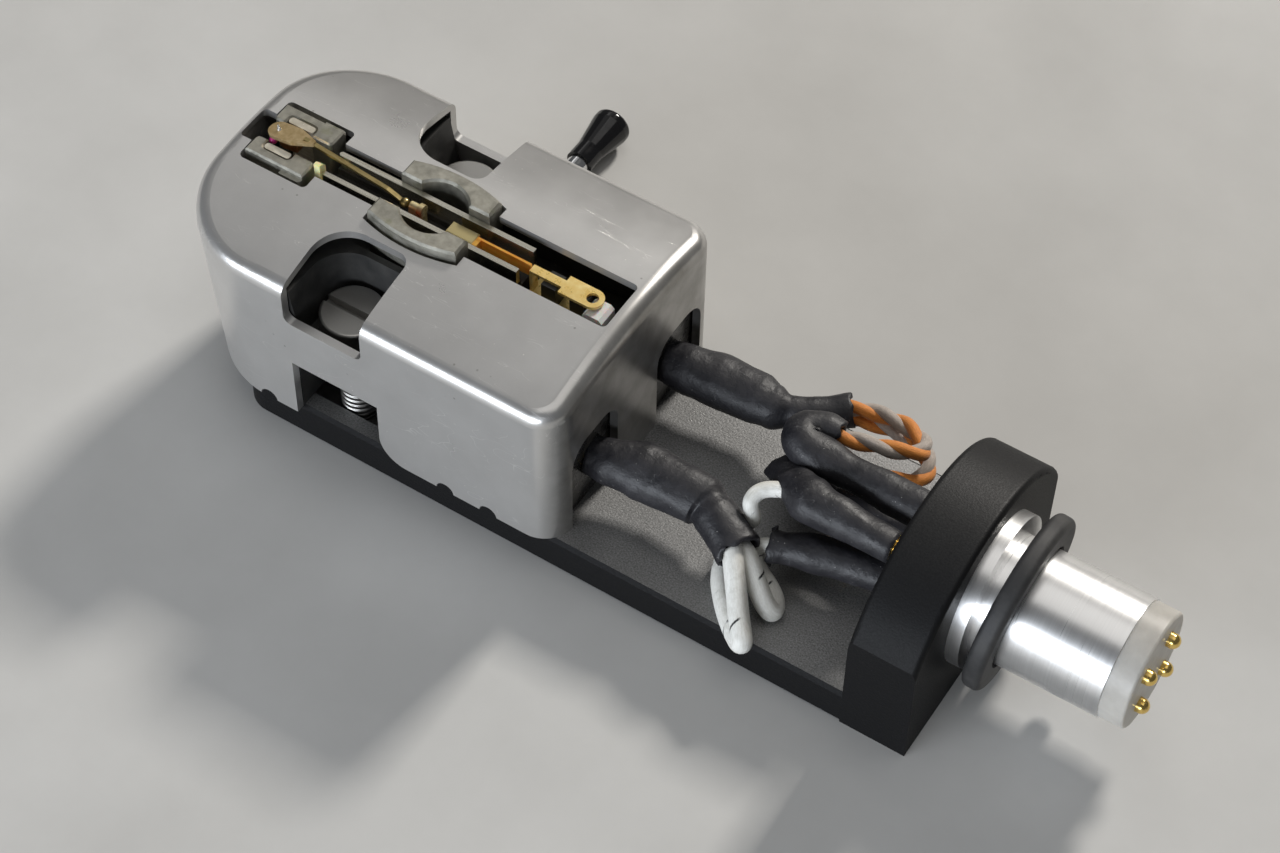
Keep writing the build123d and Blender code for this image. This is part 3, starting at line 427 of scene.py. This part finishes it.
# Stylus: an arm of thin bronze wire with a tan paddle bonded on its end. The diamond stands on
# the paddle, the coil hangs under it and a drop of magenta lacquer sits at its near edge.
bronze_dim = (0.24, 0.18, 0.07, 1.0)
bronze_bright = (0.48, 0.38, 0.18, 1.0)
bronze_draw_lines = (900.0, 5000.0, 5000.0)
paddle_dim = (0.52, 0.36, 0.16, 1.0)
paddle_tan = (0.74, 0.57, 0.32, 1.0)
copper_dim = (0.45, 0.19, 0.08, 1.0)
copper_bright = (0.75, 0.38, 0.18, 1.0)
copper_turns = (20000.0, 600.0, 600.0)
diamond_clear = (0.92, 0.94, 0.95, 1.0)
magenta_deep = (0.52, 0.02, 0.19, 1.0)
magenta_bright = (0.72, 0.06, 0.32, 1.0)

bare_bronze, tree, shader, place = new_finish("bare_bronze", bronze_bright, 0.30, 1.0)
draw = mottle(tree, stretched(tree, place, bronze_draw_lines), 1.0)
paint(tree, shader, two_tone(tree, draw, bronze_dim, bronze_bright))
coat("stylus_arm", bare_bronze)

tan_paddle, tree, shader, place = new_finish("tan_paddle", paddle_tan, 0.36, 0.8)
cloud = mottle(tree, place, 2400.0, 5.0)
paint(tree, shader, two_tone(tree, cloud, paddle_dim, paddle_tan))
relief(tree, shader, cloud, 30 * micron, 0.5)
coat("stylus_paddle", tan_paddle)

copper_wire, tree, shader, place = new_finish("copper_wire", copper_bright, 0.30, 1.0)
turns = mottle(tree, stretched(tree, place, copper_turns), 1.0, 2.0)
paint(tree, shader, tint(tree, turns, copper_dim, copper_bright))
relief(tree, shader, turns, 20 * micron, 0.8)
coat("moving_coil", copper_wire)

clear_diamond, tree, shader, place = new_finish("clear_diamond", diamond_clear, 0.05)
shader.inputs["IOR"].default_value = 2.4
shader.inputs["Transmission Weight"].default_value = 0.8
polish(tree, shader, mottle(tree, place, 9000.0), 0.03, 0.10)
coat("stylus_diamond", clear_diamond)

magenta_lacquer, tree, shader, place = new_finish("magenta_lacquer", magenta_bright, 0.20)
paint(tree, shader, tint(tree, mottle(tree, place, 5000.0), magenta_deep, magenta_bright))
coat("stylus_bead", magenta_lacquer)

# Anchor and damper: a pale gold crimp holds the arm's rear end, with a drop of red lacquer on
# its near side, and a soft yellow-green block lies by the arm.
crimp_dim = (0.78, 0.60, 0.26, 1.0)
crimp_bright = (0.95, 0.84, 0.55, 1.0)
crimp_red = (0.50, 0.08, 0.03, 1.0)
red_full = -0.0004
red_end = -0.0001
damper_dim = (0.74, 0.72, 0.30, 1.0)
damper_pale = (0.86, 0.85, 0.52, 1.0)
damper_glow = 300 * micron

crimp_gold, tree, shader, place = new_finish("crimp_gold", crimp_bright, 0.26, 0.7)
shade = two_tone(tree, mottle(tree, place, 3000.0), crimp_dim, crimp_bright)
lacquer = spread(tree, along(tree, place, "Y"), red_full, red_end, 0.9, 0.0)
paint(tree, shader, tint(tree, lacquer, shade, crimp_red))
coat("arm_anchor", crimp_gold)

soft_damper, tree, shader, place = new_finish("soft_damper", damper_pale, 0.38)
paint(tree, shader, two_tone(tree, mottle(tree, place, 1800.0), damper_dim, damper_pale))
shader.inputs["Subsurface Weight"].default_value = 0.4
shader.inputs["Subsurface Scale"].default_value = damper_glow
coat("damper_block", soft_damper)

# Tension mechanism: an amber leaf strip and a folded bracket of gold-plated foil on two black
# spacers, a clear resin clip in front and a white block behind.
foil_dim = (0.86, 0.58, 0.16, 1.0)
foil_bright = (0.97, 0.77, 0.34, 1.0)
amber_deep = (0.66, 0.27, 0.03, 1.0)
amber_bright = (0.90, 0.50, 0.10, 1.0)
amber_lines = (400.0, 1500.0, 1500.0)
amber_glow = 300 * micron
resin_honey = (0.90, 0.76, 0.38, 1.0)
spacer_black = (0.007, 0.007, 0.007, 1.0)
spacer_grey = (0.022, 0.022, 0.021, 1.0)
block_dim = (0.70, 0.70, 0.68, 1.0)
block_white = (0.84, 0.84, 0.83, 1.0)
block_glow = 400 * micron

gold_foil, tree, shader, place = new_finish("gold_foil", foil_bright, 0.30, 0.4)
crumple = mottle(tree, place, 1500.0)
paint(tree, shader, two_tone(tree, crumple, foil_dim, foil_bright))
polish(tree, shader, crumple, 0.24, 0.36)
relief(tree, shader, crumple, 30 * micron, 0.6)
coat("tension_bracket", gold_foil)

amber_leaf, tree, shader, place = new_finish("amber_leaf", amber_bright, 0.26, 0.4)
cloud = mottle(tree, stretched(tree, place, amber_lines), 1.0, 3.0)
paint(tree, shader, two_tone(tree, cloud, amber_deep, amber_bright))
shader.inputs["Subsurface Weight"].default_value = 0.5
shader.inputs["Subsurface Scale"].default_value = amber_glow
coat("tension_strip", amber_leaf)

clear_resin, tree, shader, place = new_finish("clear_resin", resin_honey, 0.10)
shader.inputs["Transmission Weight"].default_value = 0.5
shader.inputs["IOR"].default_value = 1.45
polish(tree, shader, mottle(tree, place, 2600.0), 0.06, 0.16)
coat("resin_clip", clear_resin)

black_spacer, tree, shader, place = new_finish("black_spacer", spacer_grey, 0.36)
cloud = mottle(tree, place, 2200.0)
polish(tree, shader, cloud, 0.28, 0.50)
paint(tree, shader, tint(tree, cloud, spacer_black, spacer_grey))
for end in ("front", "rear"):
    coat("spacer_block_" + end, black_spacer)

white_block, tree, shader, place = new_finish("white_block", block_white, 0.30)
paint(tree, shader, tint(tree, mottle(tree, place, 1600.0), block_dim, block_white))
shader.inputs["Subsurface Weight"].default_value = 0.4
shader.inputs["Subsurface Scale"].default_value = block_glow
coat("wedge_block", white_block)

# Leads: limp wires from the cartridge's terminals round to the plug's posts. On the far side
# each is a pair of cotton-covered strands, one orange and one beige, laid up together. On the
# near side each is one white-covered wire with a black tracer thread wound round it.
mm = 0.001
route_steps = 14
far_strand = 0.40
far_strand_corners = 14
far_lay = 0.19
far_pitch = 4.4
orange_deep = (0.56, 0.17, 0.022, 1.0)
orange_bright = (0.88, 0.33, 0.05, 1.0)
beige_dim = (0.32, 0.27, 0.23, 1.0)
beige_pale = (0.58, 0.51, 0.45, 1.0)
near_wire = 0.68
near_wire_bare = 0.52
near_wire_corners = 20
covering_end = 0.62
bare_start = 0.76
covering_dim = (0.68, 0.67, 0.62, 1.0)
covering_white = (0.86, 0.86, 0.82, 1.0)
covering_grime = (0.44, 0.43, 0.37, 1.0)
tracer_black = (0.018, 0.018, 0.020, 1.0)
tracer_pitch = 2.3
far_routes = {
    "upper": (
        (-16.4, 5.7, -0.4), (-15.0, 6.7, -0.35), (-13.7, 7.6, -0.3), (-12.0, 8.1, -0.3),
        (-10.2, 8.0, 0.0), (-8.5, 7.2, 0.4), (-7.8, 6.1, 0.9), (-8.7, 5.1, 1.4),
        (-10.6, 4.4, 1.6), (-12.2, 3.9, 1.6), (-13.6, 3.65, 1.65)),
    "lower": (
        (-16.4, 5.6, -1.1), (-15.0, 6.6, -1.2), (-13.7, 7.5, -1.3), (-11.8, 8.1, -1.35),
        (-9.8, 8.0, -1.2), (-8.0, 7.2, -0.9), (-7.3, 6.0, -0.8), (-8.0, 4.9, -1.0),
        (-10.0, 4.4, -1.4), (-12.0, 4.15, -1.6), (-13.6, 3.9, -1.6)),
}
near_routes = {
    "upper": (
        (-16.2, -4.4, -0.7), (-14.9, -5.3, -0.9), (-14.2, -6.2, -1.4), (-13.3, -7.3, -2.2),
        (-12.2, -8.7, -2.9), (-11.3, -9.7, -3.3), (-11.6, -9.6, -3.8), (-12.9, -8.6, -3.8),
        (-14.1, -7.4, -3.8), (-15.2, -6.0, -3.7), (-15.6, -4.6, -3.5), (-15.6, -3.2, -2.8),
        (-15.2, -2.7, -1.6), (-14.7, -3.0, -0.9), (-15.1, -2.9, 0.2), (-15.2, -2.5, 0.6),
        (-14.9, -1.9, 0.9), (-14.0, -1.4, 1.1), (-12.8, -1.2, 1.4)),
    "lower": (
        (-16.2, -4.2, -1.4), (-14.8, -4.7, -1.5), (-13.9, -5.0, -1.7), (-12.8, -5.8, -2.5),
        (-11.7, -6.6, -3.2), (-11.0, -6.6, -3.8), (-11.4, -5.7, -3.8), (-12.4, -5.0, -3.7),
        (-13.6, -4.4, -3.2), (-14.0, -3.7, -2.4), (-13.2, -3.5, -1.8), (-11.8, -3.2, -1.6)),
}


def smooth_route(name, points):
    """Places along a smooth line that its control points draw."""
    line = bpy.data.curves.new(name, "CURVE")
    line.dimensions = "3D"
    line.resolution_u = route_steps
    spline = line.splines.new("NURBS")
    spline.points.add(len(points) - 1)
    for knot, point in zip(spline.points, points):
        knot.co = (point[0] * mm, point[1] * mm, point[2] * mm, 1.0)
    spline.order_u = 3
    spline.use_endpoint_u = True
    guide = bpy.data.objects.new(name, line)
    drawn = bpy.data.meshes.new_from_object(guide)
    places = [corner.co.copy() for corner in drawn.vertices]
    bpy.data.meshes.remove(drawn)
    bpy.data.objects.remove(guide)
    bpy.data.curves.remove(line)
    return places


def carried(places):
    """A frame at each place of a route, level at its start and carried along without a twist."""
    frames = []
    across = (places[1] - places[0]).cross(Vector((0, 0, 1))).normalized()
    for before, place, after in zip(places[:1] + places, places, places[1:] + places[-1:]):
        ahead = (after - before).normalized()
        across = (across - ahead * across.dot(ahead)).normalized()
        turned = Matrix((across, ahead.cross(across), ahead)).transposed().to_4x4()
        frames.append(Matrix.Translation(place) @ turned)
    return frames


def lengths(places):
    """How far along the route each place is."""
    runs = [0.0]
    for one, two in zip(places, places[1:]):
        runs.append(runs[-1] + (two - one).length)
    return runs


def draw_out(mesh, places, girths, corners, finish_index=0):
    """Draws a ring out along a route, with its own half width and half height at each place.

    Each point keeps where it lies round the strand and along it. Both open rims come back.
    """
    frames = carried(places)
    runs = lengths(places)
    layers = mesh.verts.layers.float
    marks = [layers.get(name) or layers.new(name) for name in ("across", "upright", "run")]
    wide = [Matrix.Diagonal((girth[0], girth[1], 1.0, 1.0)) for girth in girths]
    narrow = [Matrix.Diagonal((1.0 / girth[0], 1.0 / girth[1], 1.0, 1.0)) for girth in girths]
    ring = bmesh.ops.create_circle(mesh, segments=corners, radius=1.0,
                                   matrix=frames[0] @ wide[0])["verts"]
    rim = list({edge for corner in ring for edge in corner.link_edges})
    start_rim = rim
    for i in range(len(places)):
        if i:
            grown = bmesh.ops.extrude_edge_only(mesh, edges=rim)["geom"]
            ring = [part for part in grown if isinstance(part, bmesh.types.BMVert)]
            rim = [part for part in grown if isinstance(part, bmesh.types.BMEdge)]
            for part in grown:
                if isinstance(part, bmesh.types.BMFace):
                    part.material_index = finish_index
                    part.smooth = True
            step = frames[i] @ wide[i] @ narrow[i - 1] @ frames[i - 1].inverted()
            bmesh.ops.transform(mesh, matrix=step, verts=ring)
        unturned = narrow[i] @ frames[i].inverted()
        for corner in ring:
            spot = unturned @ corner.co
            corner[marks[0]] = spot.x
            corner[marks[1]] = spot.y
            corner[marks[2]] = runs[i] / mm
    return start_rim, rim


def girths_along(places, marks):
    """Half widths and half heights that change smoothly between marks along a route."""
    runs = lengths(places)
    girths = []
    for run in runs:
        share = run / runs[-1]
        after = next(i for i, mark in enumerate(marks) if mark[0] >= share - 1e-6)
        low, high = marks[max(after - 1, 0)], marks[after]
        part = 0.0 if high[0] == low[0] else (share - low[0]) / (high[0] - low[0])
        part = part * part * (3 - 2 * part)
        girths.append(tuple((low[k] + (high[k] - low[k]) * part) * mm for k in (1, 2)))
    return girths


def finished(name, mesh, finishes, body):
    """Makes a piece of a mesh, with its finishes, on its body."""
    bmesh.ops.recalc_face_normals(mesh, faces=mesh.faces)
    data = bpy.data.meshes.new(name)
    mesh.to_mesh(data)
    mesh.free()
    for finish in finishes:
        data.materials.append(finish)
    piece = bpy.data.objects.new(name, data)
    bpy.context.scene.collection.objects.link(piece)
    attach(piece, body)
    return piece


def strand_mark(tree, name):
    """A number that a strand's mesh carries at each point."""
    mark = tree.nodes.new("ShaderNodeAttribute")
    mark.attribute_name = name
    return mark.outputs["Fac"]


def thread_place(tree, around, lengthwise):
    """Coordinates that run round and along a strand, for the fibres of its covering."""
    joined = tree.nodes.new("ShaderNodeCombineXYZ")
    for axis, name, scale in (("X", "across", around), ("Y", "upright", around),
                              ("Z", "run", lengthwise)):
        tree.links.new(times(tree, strand_mark(tree, name), scale), joined.inputs[axis])
    return joined.outputs["Vector"]


def cotton(name, dark, bright):
    """A covering of wound cotton thread."""
    finish, tree, shader, place = new_finish(name, bright, 0.62)
    fibres = mottle(tree, thread_place(tree, 4.0, 1.6), 2.2, 4.0, 0.7)
    blotches = spread(tree, mottle(tree, place, 1500.0, 3.0), 0.55, 0.75, 0.0, 0.5)
    paint(tree, shader, tint(tree, blotches, two_tone(tree, fibres, dark, bright), dark))
    relief(tree, shader, fibres, 40 * micron, 0.8)
    shader.inputs["Sheen Weight"].default_value = 0.25
    return finish


orange_cotton = cotton("orange_cotton", orange_deep, orange_bright)
beige_cotton = cotton("beige_cotton", beige_dim, beige_pale)
for row, route in far_routes.items():
    middle = smooth_route("far_lead_line_" + row, route)
    mesh = bmesh.new()
    for strand in (0, 1):
        laid = []
        for frame_here, run in zip(carried(middle), lengths(middle)):
            turn = 2 * math.pi * run / (far_pitch * mm) + strand * math.pi
            aside = Vector((math.cos(turn) * far_lay * mm, math.sin(turn) * far_lay * mm, 0))
            laid.append(frame_here @ aside)
        girths = [(far_strand * mm, far_strand * mm)] * len(laid)
        for rim in draw_out(mesh, laid, girths, far_strand_corners, strand):
            bmesh.ops.contextual_create(mesh, geom=rim)
    lead = finished("far_lead_" + row, mesh, (orange_cotton, beige_cotton), "cartridge")
    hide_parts("lead_wire_far_" + row)

white_covering, tree, shader, place = new_finish("white_covering", covering_dim, 0.46)
fibres = mottle(tree, thread_place(tree, 3.0, 1.2), 2.0, 4.0, 0.7)
grime = spread(tree, mottle(tree, place, 1300.0), 0.5, 0.75, 0.0, 0.45)
shade = two_tone(tree, fibres, covering_dim, covering_white)
shade = tint(tree, grime, shade, covering_grime)
wound = times(tree, strand_mark(tree, "run"), 2 * math.pi / tracer_pitch)
facing = worked(tree, "ADD",
                times(tree, worked(tree, "COSINE", wound), strand_mark(tree, "across")),
                times(tree, worked(tree, "SINE", wound), strand_mark(tree, "upright")))
tracer = times(tree, spread(tree, facing, 0.955, 0.985),
               spread(tree, mottle(tree, place, 700.0, 1.0), 0.50, 0.62))
paint(tree, shader, tint(tree, tracer, shade, tracer_black))
raised = relief(tree, shader, fibres, 30 * micron, 0.6)
relief(tree, shader, tracer, 60 * micron, 0.7, raised)
near_girths = ((0.0, near_wire, near_wire), (covering_end, near_wire, near_wire),
               (bare_start, near_wire_bare, near_wire_bare),
               (1.0, near_wire_bare, near_wire_bare))
for row, route in near_routes.items():
    middle = smooth_route("near_lead_line_" + row, route)
    mesh = bmesh.new()
    girths = girths_along(middle, near_girths)
    for rim in draw_out(mesh, middle, girths, near_wire_corners):
        bmesh.ops.contextual_create(mesh, geom=rim)
    lead = finished("near_lead_" + row, mesh, (white_covering,), "cartridge")
    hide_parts("lead_wire_near_" + row)

# Sleeves: charcoal heat-shrink tubing over the terminals and the clips. Shrinking has drawn it
# tight over what is inside, so it swells, necks in, creases at its bends and ends in ragged
# open mouths. Each has a route, and marks along it with a half width and a half height.
sleeve_wall = 0.28 * mm
sleeve_corners = 36
sleeve_black = (0.009, 0.009, 0.012, 1.0)
sleeve_charcoal = (0.024, 0.023, 0.027, 1.0)
lint_grey = (0.30, 0.30, 0.30, 1.0)
mote_pale = (0.50, 0.49, 0.47, 1.0)
broad_swell = 420.0
broad_swell_reach = 0.16
fine_swell = 1100.0
fine_swell_reach = 0.05
mouth_tear = 1700.0
mouth_tear_reach = 0.35
sleeves = {
    "lead_sleeve_near": (
        ((-26.0, -4.3, -0.9), (-24.3, -4.0, -0.85), (-22.5, -3.6, -0.8), (-20.0, -3.5, -0.8),
         (-18.4, -3.55, -0.85), (-17.7, -3.65, -0.9), (-17.2, -3.9, -0.95),
         (-16.0, -4.45, -1.05), (-14.4, -5.3, -1.25)),
        ((0.0, 1.25, 1.35), (0.14, 1.55, 1.6), (0.32, 1.85, 1.75), (0.55, 1.8, 1.7),
         (0.66, 1.72, 1.62), (0.71, 1.4, 1.38), (0.77, 1.5, 1.5), (0.9, 1.5, 1.42),
         (1.0, 1.6, 1.3))),
    "lead_sleeve_far": (
        ((-26.0, 4.7, -0.85), (-24.0, 4.9, -0.8), (-21.5, 5.2, -0.8), (-19.3, 5.2, -0.8),
         (-17.9, 5.2, -0.8), (-16.8, 5.6, -0.8), (-15.3, 6.5, -0.75), (-13.9, 7.5, -0.7)),
        ((0.0, 1.4, 1.45), (0.15, 1.65, 1.65), (0.32, 1.75, 1.7), (0.52, 1.7, 1.65),
         (0.61, 1.5, 1.45), (0.70, 1.05, 1.1), (0.9, 1.0, 1.05), (1.0, 1.15, 1.1))),
    "clip_sleeve_far_upper": (
        ((-5.25, 1.7, 1.55), (-8.0, 1.85, 1.6), (-10.5, 1.7, 1.6), (-12.6, 1.75, 1.65),
         (-14.3, 1.9, 1.7), (-14.9, 2.9, 1.7), (-14.0, 3.65, 1.65), (-12.6, 3.75, 1.6)),
        ((0.0, 1.25, 1.25), (0.22, 1.3, 1.25), (0.42, 1.12, 1.1), (0.6, 1.35, 1.25),
         (0.78, 1.28, 1.35), (0.92, 1.18, 1.25), (1.0, 1.0, 1.1))),
    "clip_sleeve_far_lower": (
        ((-5.25, 1.6, -1.6), (-8.0, 1.7, -1.6), (-10.5, 1.6, -1.6), (-12.6, 1.6, -1.6),
         (-14.3, 1.9, -1.6), (-14.6, 3.3, -1.6), (-13.6, 4.1, -1.6), (-12.2, 4.15, -1.6)),
        ((0.0, 1.2, 1.2), (0.4, 1.1, 1.1), (0.6, 1.25, 1.2), (0.8, 1.1, 1.2),
         (1.0, 0.95, 1.05))),
    "clip_sleeve_near_upper": (
        ((-5.6, -1.65, 1.55), (-8.0, -1.65, 1.6), (-10.4, -1.6, 1.65), (-11.8, -1.4, 1.6),
         (-13.2, -0.6, 1.2), (-14.1, 0.3, 0.6), (-15.0, 1.1, 0.0)),
        ((0.0, 1.15, 1.15), (0.25, 1.2, 1.2), (0.45, 1.35, 1.3), (0.58, 1.55, 1.4),
         (0.72, 1.35, 1.15), (0.85, 1.35, 0.8), (1.0, 1.4, 0.6))),
    "clip_sleeve_near_lower": (
        ((-5.25, -1.6, -1.55), (-8.0, -2.0, -1.6), (-10.5, -2.7, -1.6), (-12.0, -3.2, -1.6),
         (-13.1, -3.6, -1.65)),
        ((0.0, 1.15, 1.15), (0.4, 1.2, 1.15), (0.7, 1.3, 1.2), (0.9, 1.05, 1.0),
         (1.0, 1.15, 0.9))),
}

shrunk_sleeve, tree, shader, place = new_finish("shrunk_sleeve", sleeve_charcoal, 0.50)
dusting = mottle(tree, place, 1000.0, 6.0)
motes = specks(tree, place, 3400.0, 0.13)
lint = hair_scratches(tree, place, 0.4, (900.0, 2600.0, 1400.0), 0.010)
shade = two_tone(tree, dusting, sleeve_black, sleeve_charcoal, 0.35, 0.75)
shade = tint(tree, times(tree, lint, 0.25), shade, lint_grey)
paint(tree, shader, tint(tree, times(tree, motes, 0.6), shade, mote_pale))
polish(tree, shader, dusting, 0.42, 0.60)
ripple = relief(tree, shader, mottle(tree, place, 1300.0, 3.0), 140 * micron, 0.6)
relief(tree, shader, mottle(tree, place, 9000.0, 2.0), 12 * micron, 0.5, ripple)

for node, (route, marks) in sleeves.items():
    middle = smooth_route(node + "_line", route)
    mesh = bmesh.new()
    mouths = draw_out(mesh, middle, girths_along(middle, marks), sleeve_corners)
    mesh.normal_update()
    for corner in mesh.verts:
        swell = (noise.noise(corner.co * broad_swell) * broad_swell_reach
                 + noise.noise(corner.co * fine_swell) * fine_swell_reach)
        corner.co += corner.normal * swell * mm
    outwards = (middle[-1] - middle[-3]).normalized()
    for corner in {corner for edge in mouths[1] for corner in edge.verts}:
        ragged = noise.noise(corner.co * mouth_tear) * mouth_tear_reach
        corner.co += outwards * ragged * mm
    sleeve = finished(node.replace("sleeve", "shrink"), mesh, (shrunk_sleeve,), "cartridge")
    wall = sleeve.modifiers.new("wall", "SOLIDIFY")
    wall.thickness = sleeve_wall
    wall.offset = -1.0
    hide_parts(node)

# Studio: a plain pale floor under the part and a dim grey surround. A warm key light stands on
# the far side, with a narrow window band, a weak sky and a top light to fill the shadows, and a
# low cool light on the near side.
floor_reach = 1.2
floor_dim = (0.51, 0.505, 0.49, 1.0)
floor_pale = (0.58, 0.575, 0.56, 1.0)
surround_grey = (0.60, 0.61, 0.62, 1.0)
surround_strength = 0.16
leads_spot = (-0.02, 0.0, 0.0)
cover_spot = (-0.04, 0.0, 0.0)
warm_light = (1.0, 0.96, 0.90)
soft_light = (1.0, 0.98, 0.95)
day_light = (1.0, 0.99, 0.97)
cool_light = (0.86, 0.92, 1.0)

floor_mesh = bmesh.new()
bmesh.ops.create_grid(floor_mesh, x_segments=1, y_segments=1, size=floor_reach,
                      matrix=Matrix.Translation((0, 0, cad_box[0][2])))
floor_data = bpy.data.meshes.new("floor")
floor_mesh.to_mesh(floor_data)
floor_mesh.free()
floor = bpy.data.objects.new("floor", floor_data)
bpy.context.scene.collection.objects.link(floor)
pale_floor, tree, shader, place = new_finish("pale_floor", floor_pale, 0.75)
paint(tree, shader, two_tone(tree, mottle(tree, place, 60.0, 6.0), floor_dim, floor_pale))
floor_data.materials.append(pale_floor)


def studio_light(name, spot, aim, size, power, colour):
    """A soft light at a spot, as wide and high as its size says, turned to its aim."""
    lamp = bpy.data.lights.new(name, "AREA")
    lamp.shape = "RECTANGLE"
    lamp.size = size[0]
    lamp.size_y = size[1]
    lamp.energy = power
    lamp.color = colour
    light = bpy.data.objects.new(name, lamp)
    bpy.context.scene.collection.objects.link(light)
    light.location = spot
    light.rotation_euler = (Vector(aim) - Vector(spot)).to_track_quat("-Z", "Y").to_euler()


studio_light("key_light", (0.01, 0.48, 0.35), leads_spot, (0.08, 0.08), 2.8, warm_light)
studio_light("window_light", (-0.25, 0.32, 0.32), cover_spot, (0.30, 0.06), 0.05, day_light)
studio_light("sky_light", (-0.25, 0.18, 0.415), cover_spot, (0.36, 0.24), 0.07, day_light)
studio_light("near_light", (-0.08, -0.36, 0.075), leads_spot, (0.40, 0.11), 1.5, cool_light)
studio_light("top_light", (0.03, 0.0, 0.50), leads_spot, (0.40, 0.40), 0.40, soft_light)

surround = bpy.data.worlds.new("surround")
surround.use_nodes = True
backdrop = surround.node_tree.nodes["Background"]
backdrop.inputs["Color"].default_value = surround_grey
backdrop.inputs["Strength"].default_value = surround_strength
bpy.context.scene.world = surround
bpy.context.scene.view_settings.view_transform = "Standard"

# Camera: above the plug's end on the near side, as the photograph was taken. Its focal length
# and the middle of its picture are given in pixels of the photograph's width.
photo_width = 1280
focal_pixels = 3089.44
middle_pixel = 634.65
sensor_width = 36.0
camera_spot = Vector((0.03740, -0.10150, 0.15513))
camera_azimuth = math.radians(31.74)
camera_height = math.radians(52.835)
camera_roll = math.radians(1.119)

back = Vector((math.sin(camera_azimuth) * math.cos(camera_height),
               -math.cos(camera_azimuth) * math.cos(camera_height), math.sin(camera_height)))
forward = -back
level_right = forward.cross(Vector((0, 0, 1))).normalized()
level_down = forward.cross(level_right).normalized()
right = level_right * math.cos(camera_roll) - level_down * math.sin(camera_roll)
down = level_right * math.sin(camera_roll) + level_down * math.cos(camera_roll)
lens = bpy.data.cameras.new("camera")
lens.sensor_width = sensor_width
lens.lens = focal_pixels / photo_width * sensor_width
lens.shift_x = (photo_width / 2 - middle_pixel) / photo_width
lens.clip_start = 0.005
lens.clip_end = 10.0
camera = bpy.data.objects.new("camera", lens)
bpy.context.scene.collection.objects.link(camera)
turned = Matrix((right, -down, back)).transposed().to_4x4()
camera.matrix_world = Matrix.Translation(camera_spot) @ turned
bpy.context.scene.camera = camera
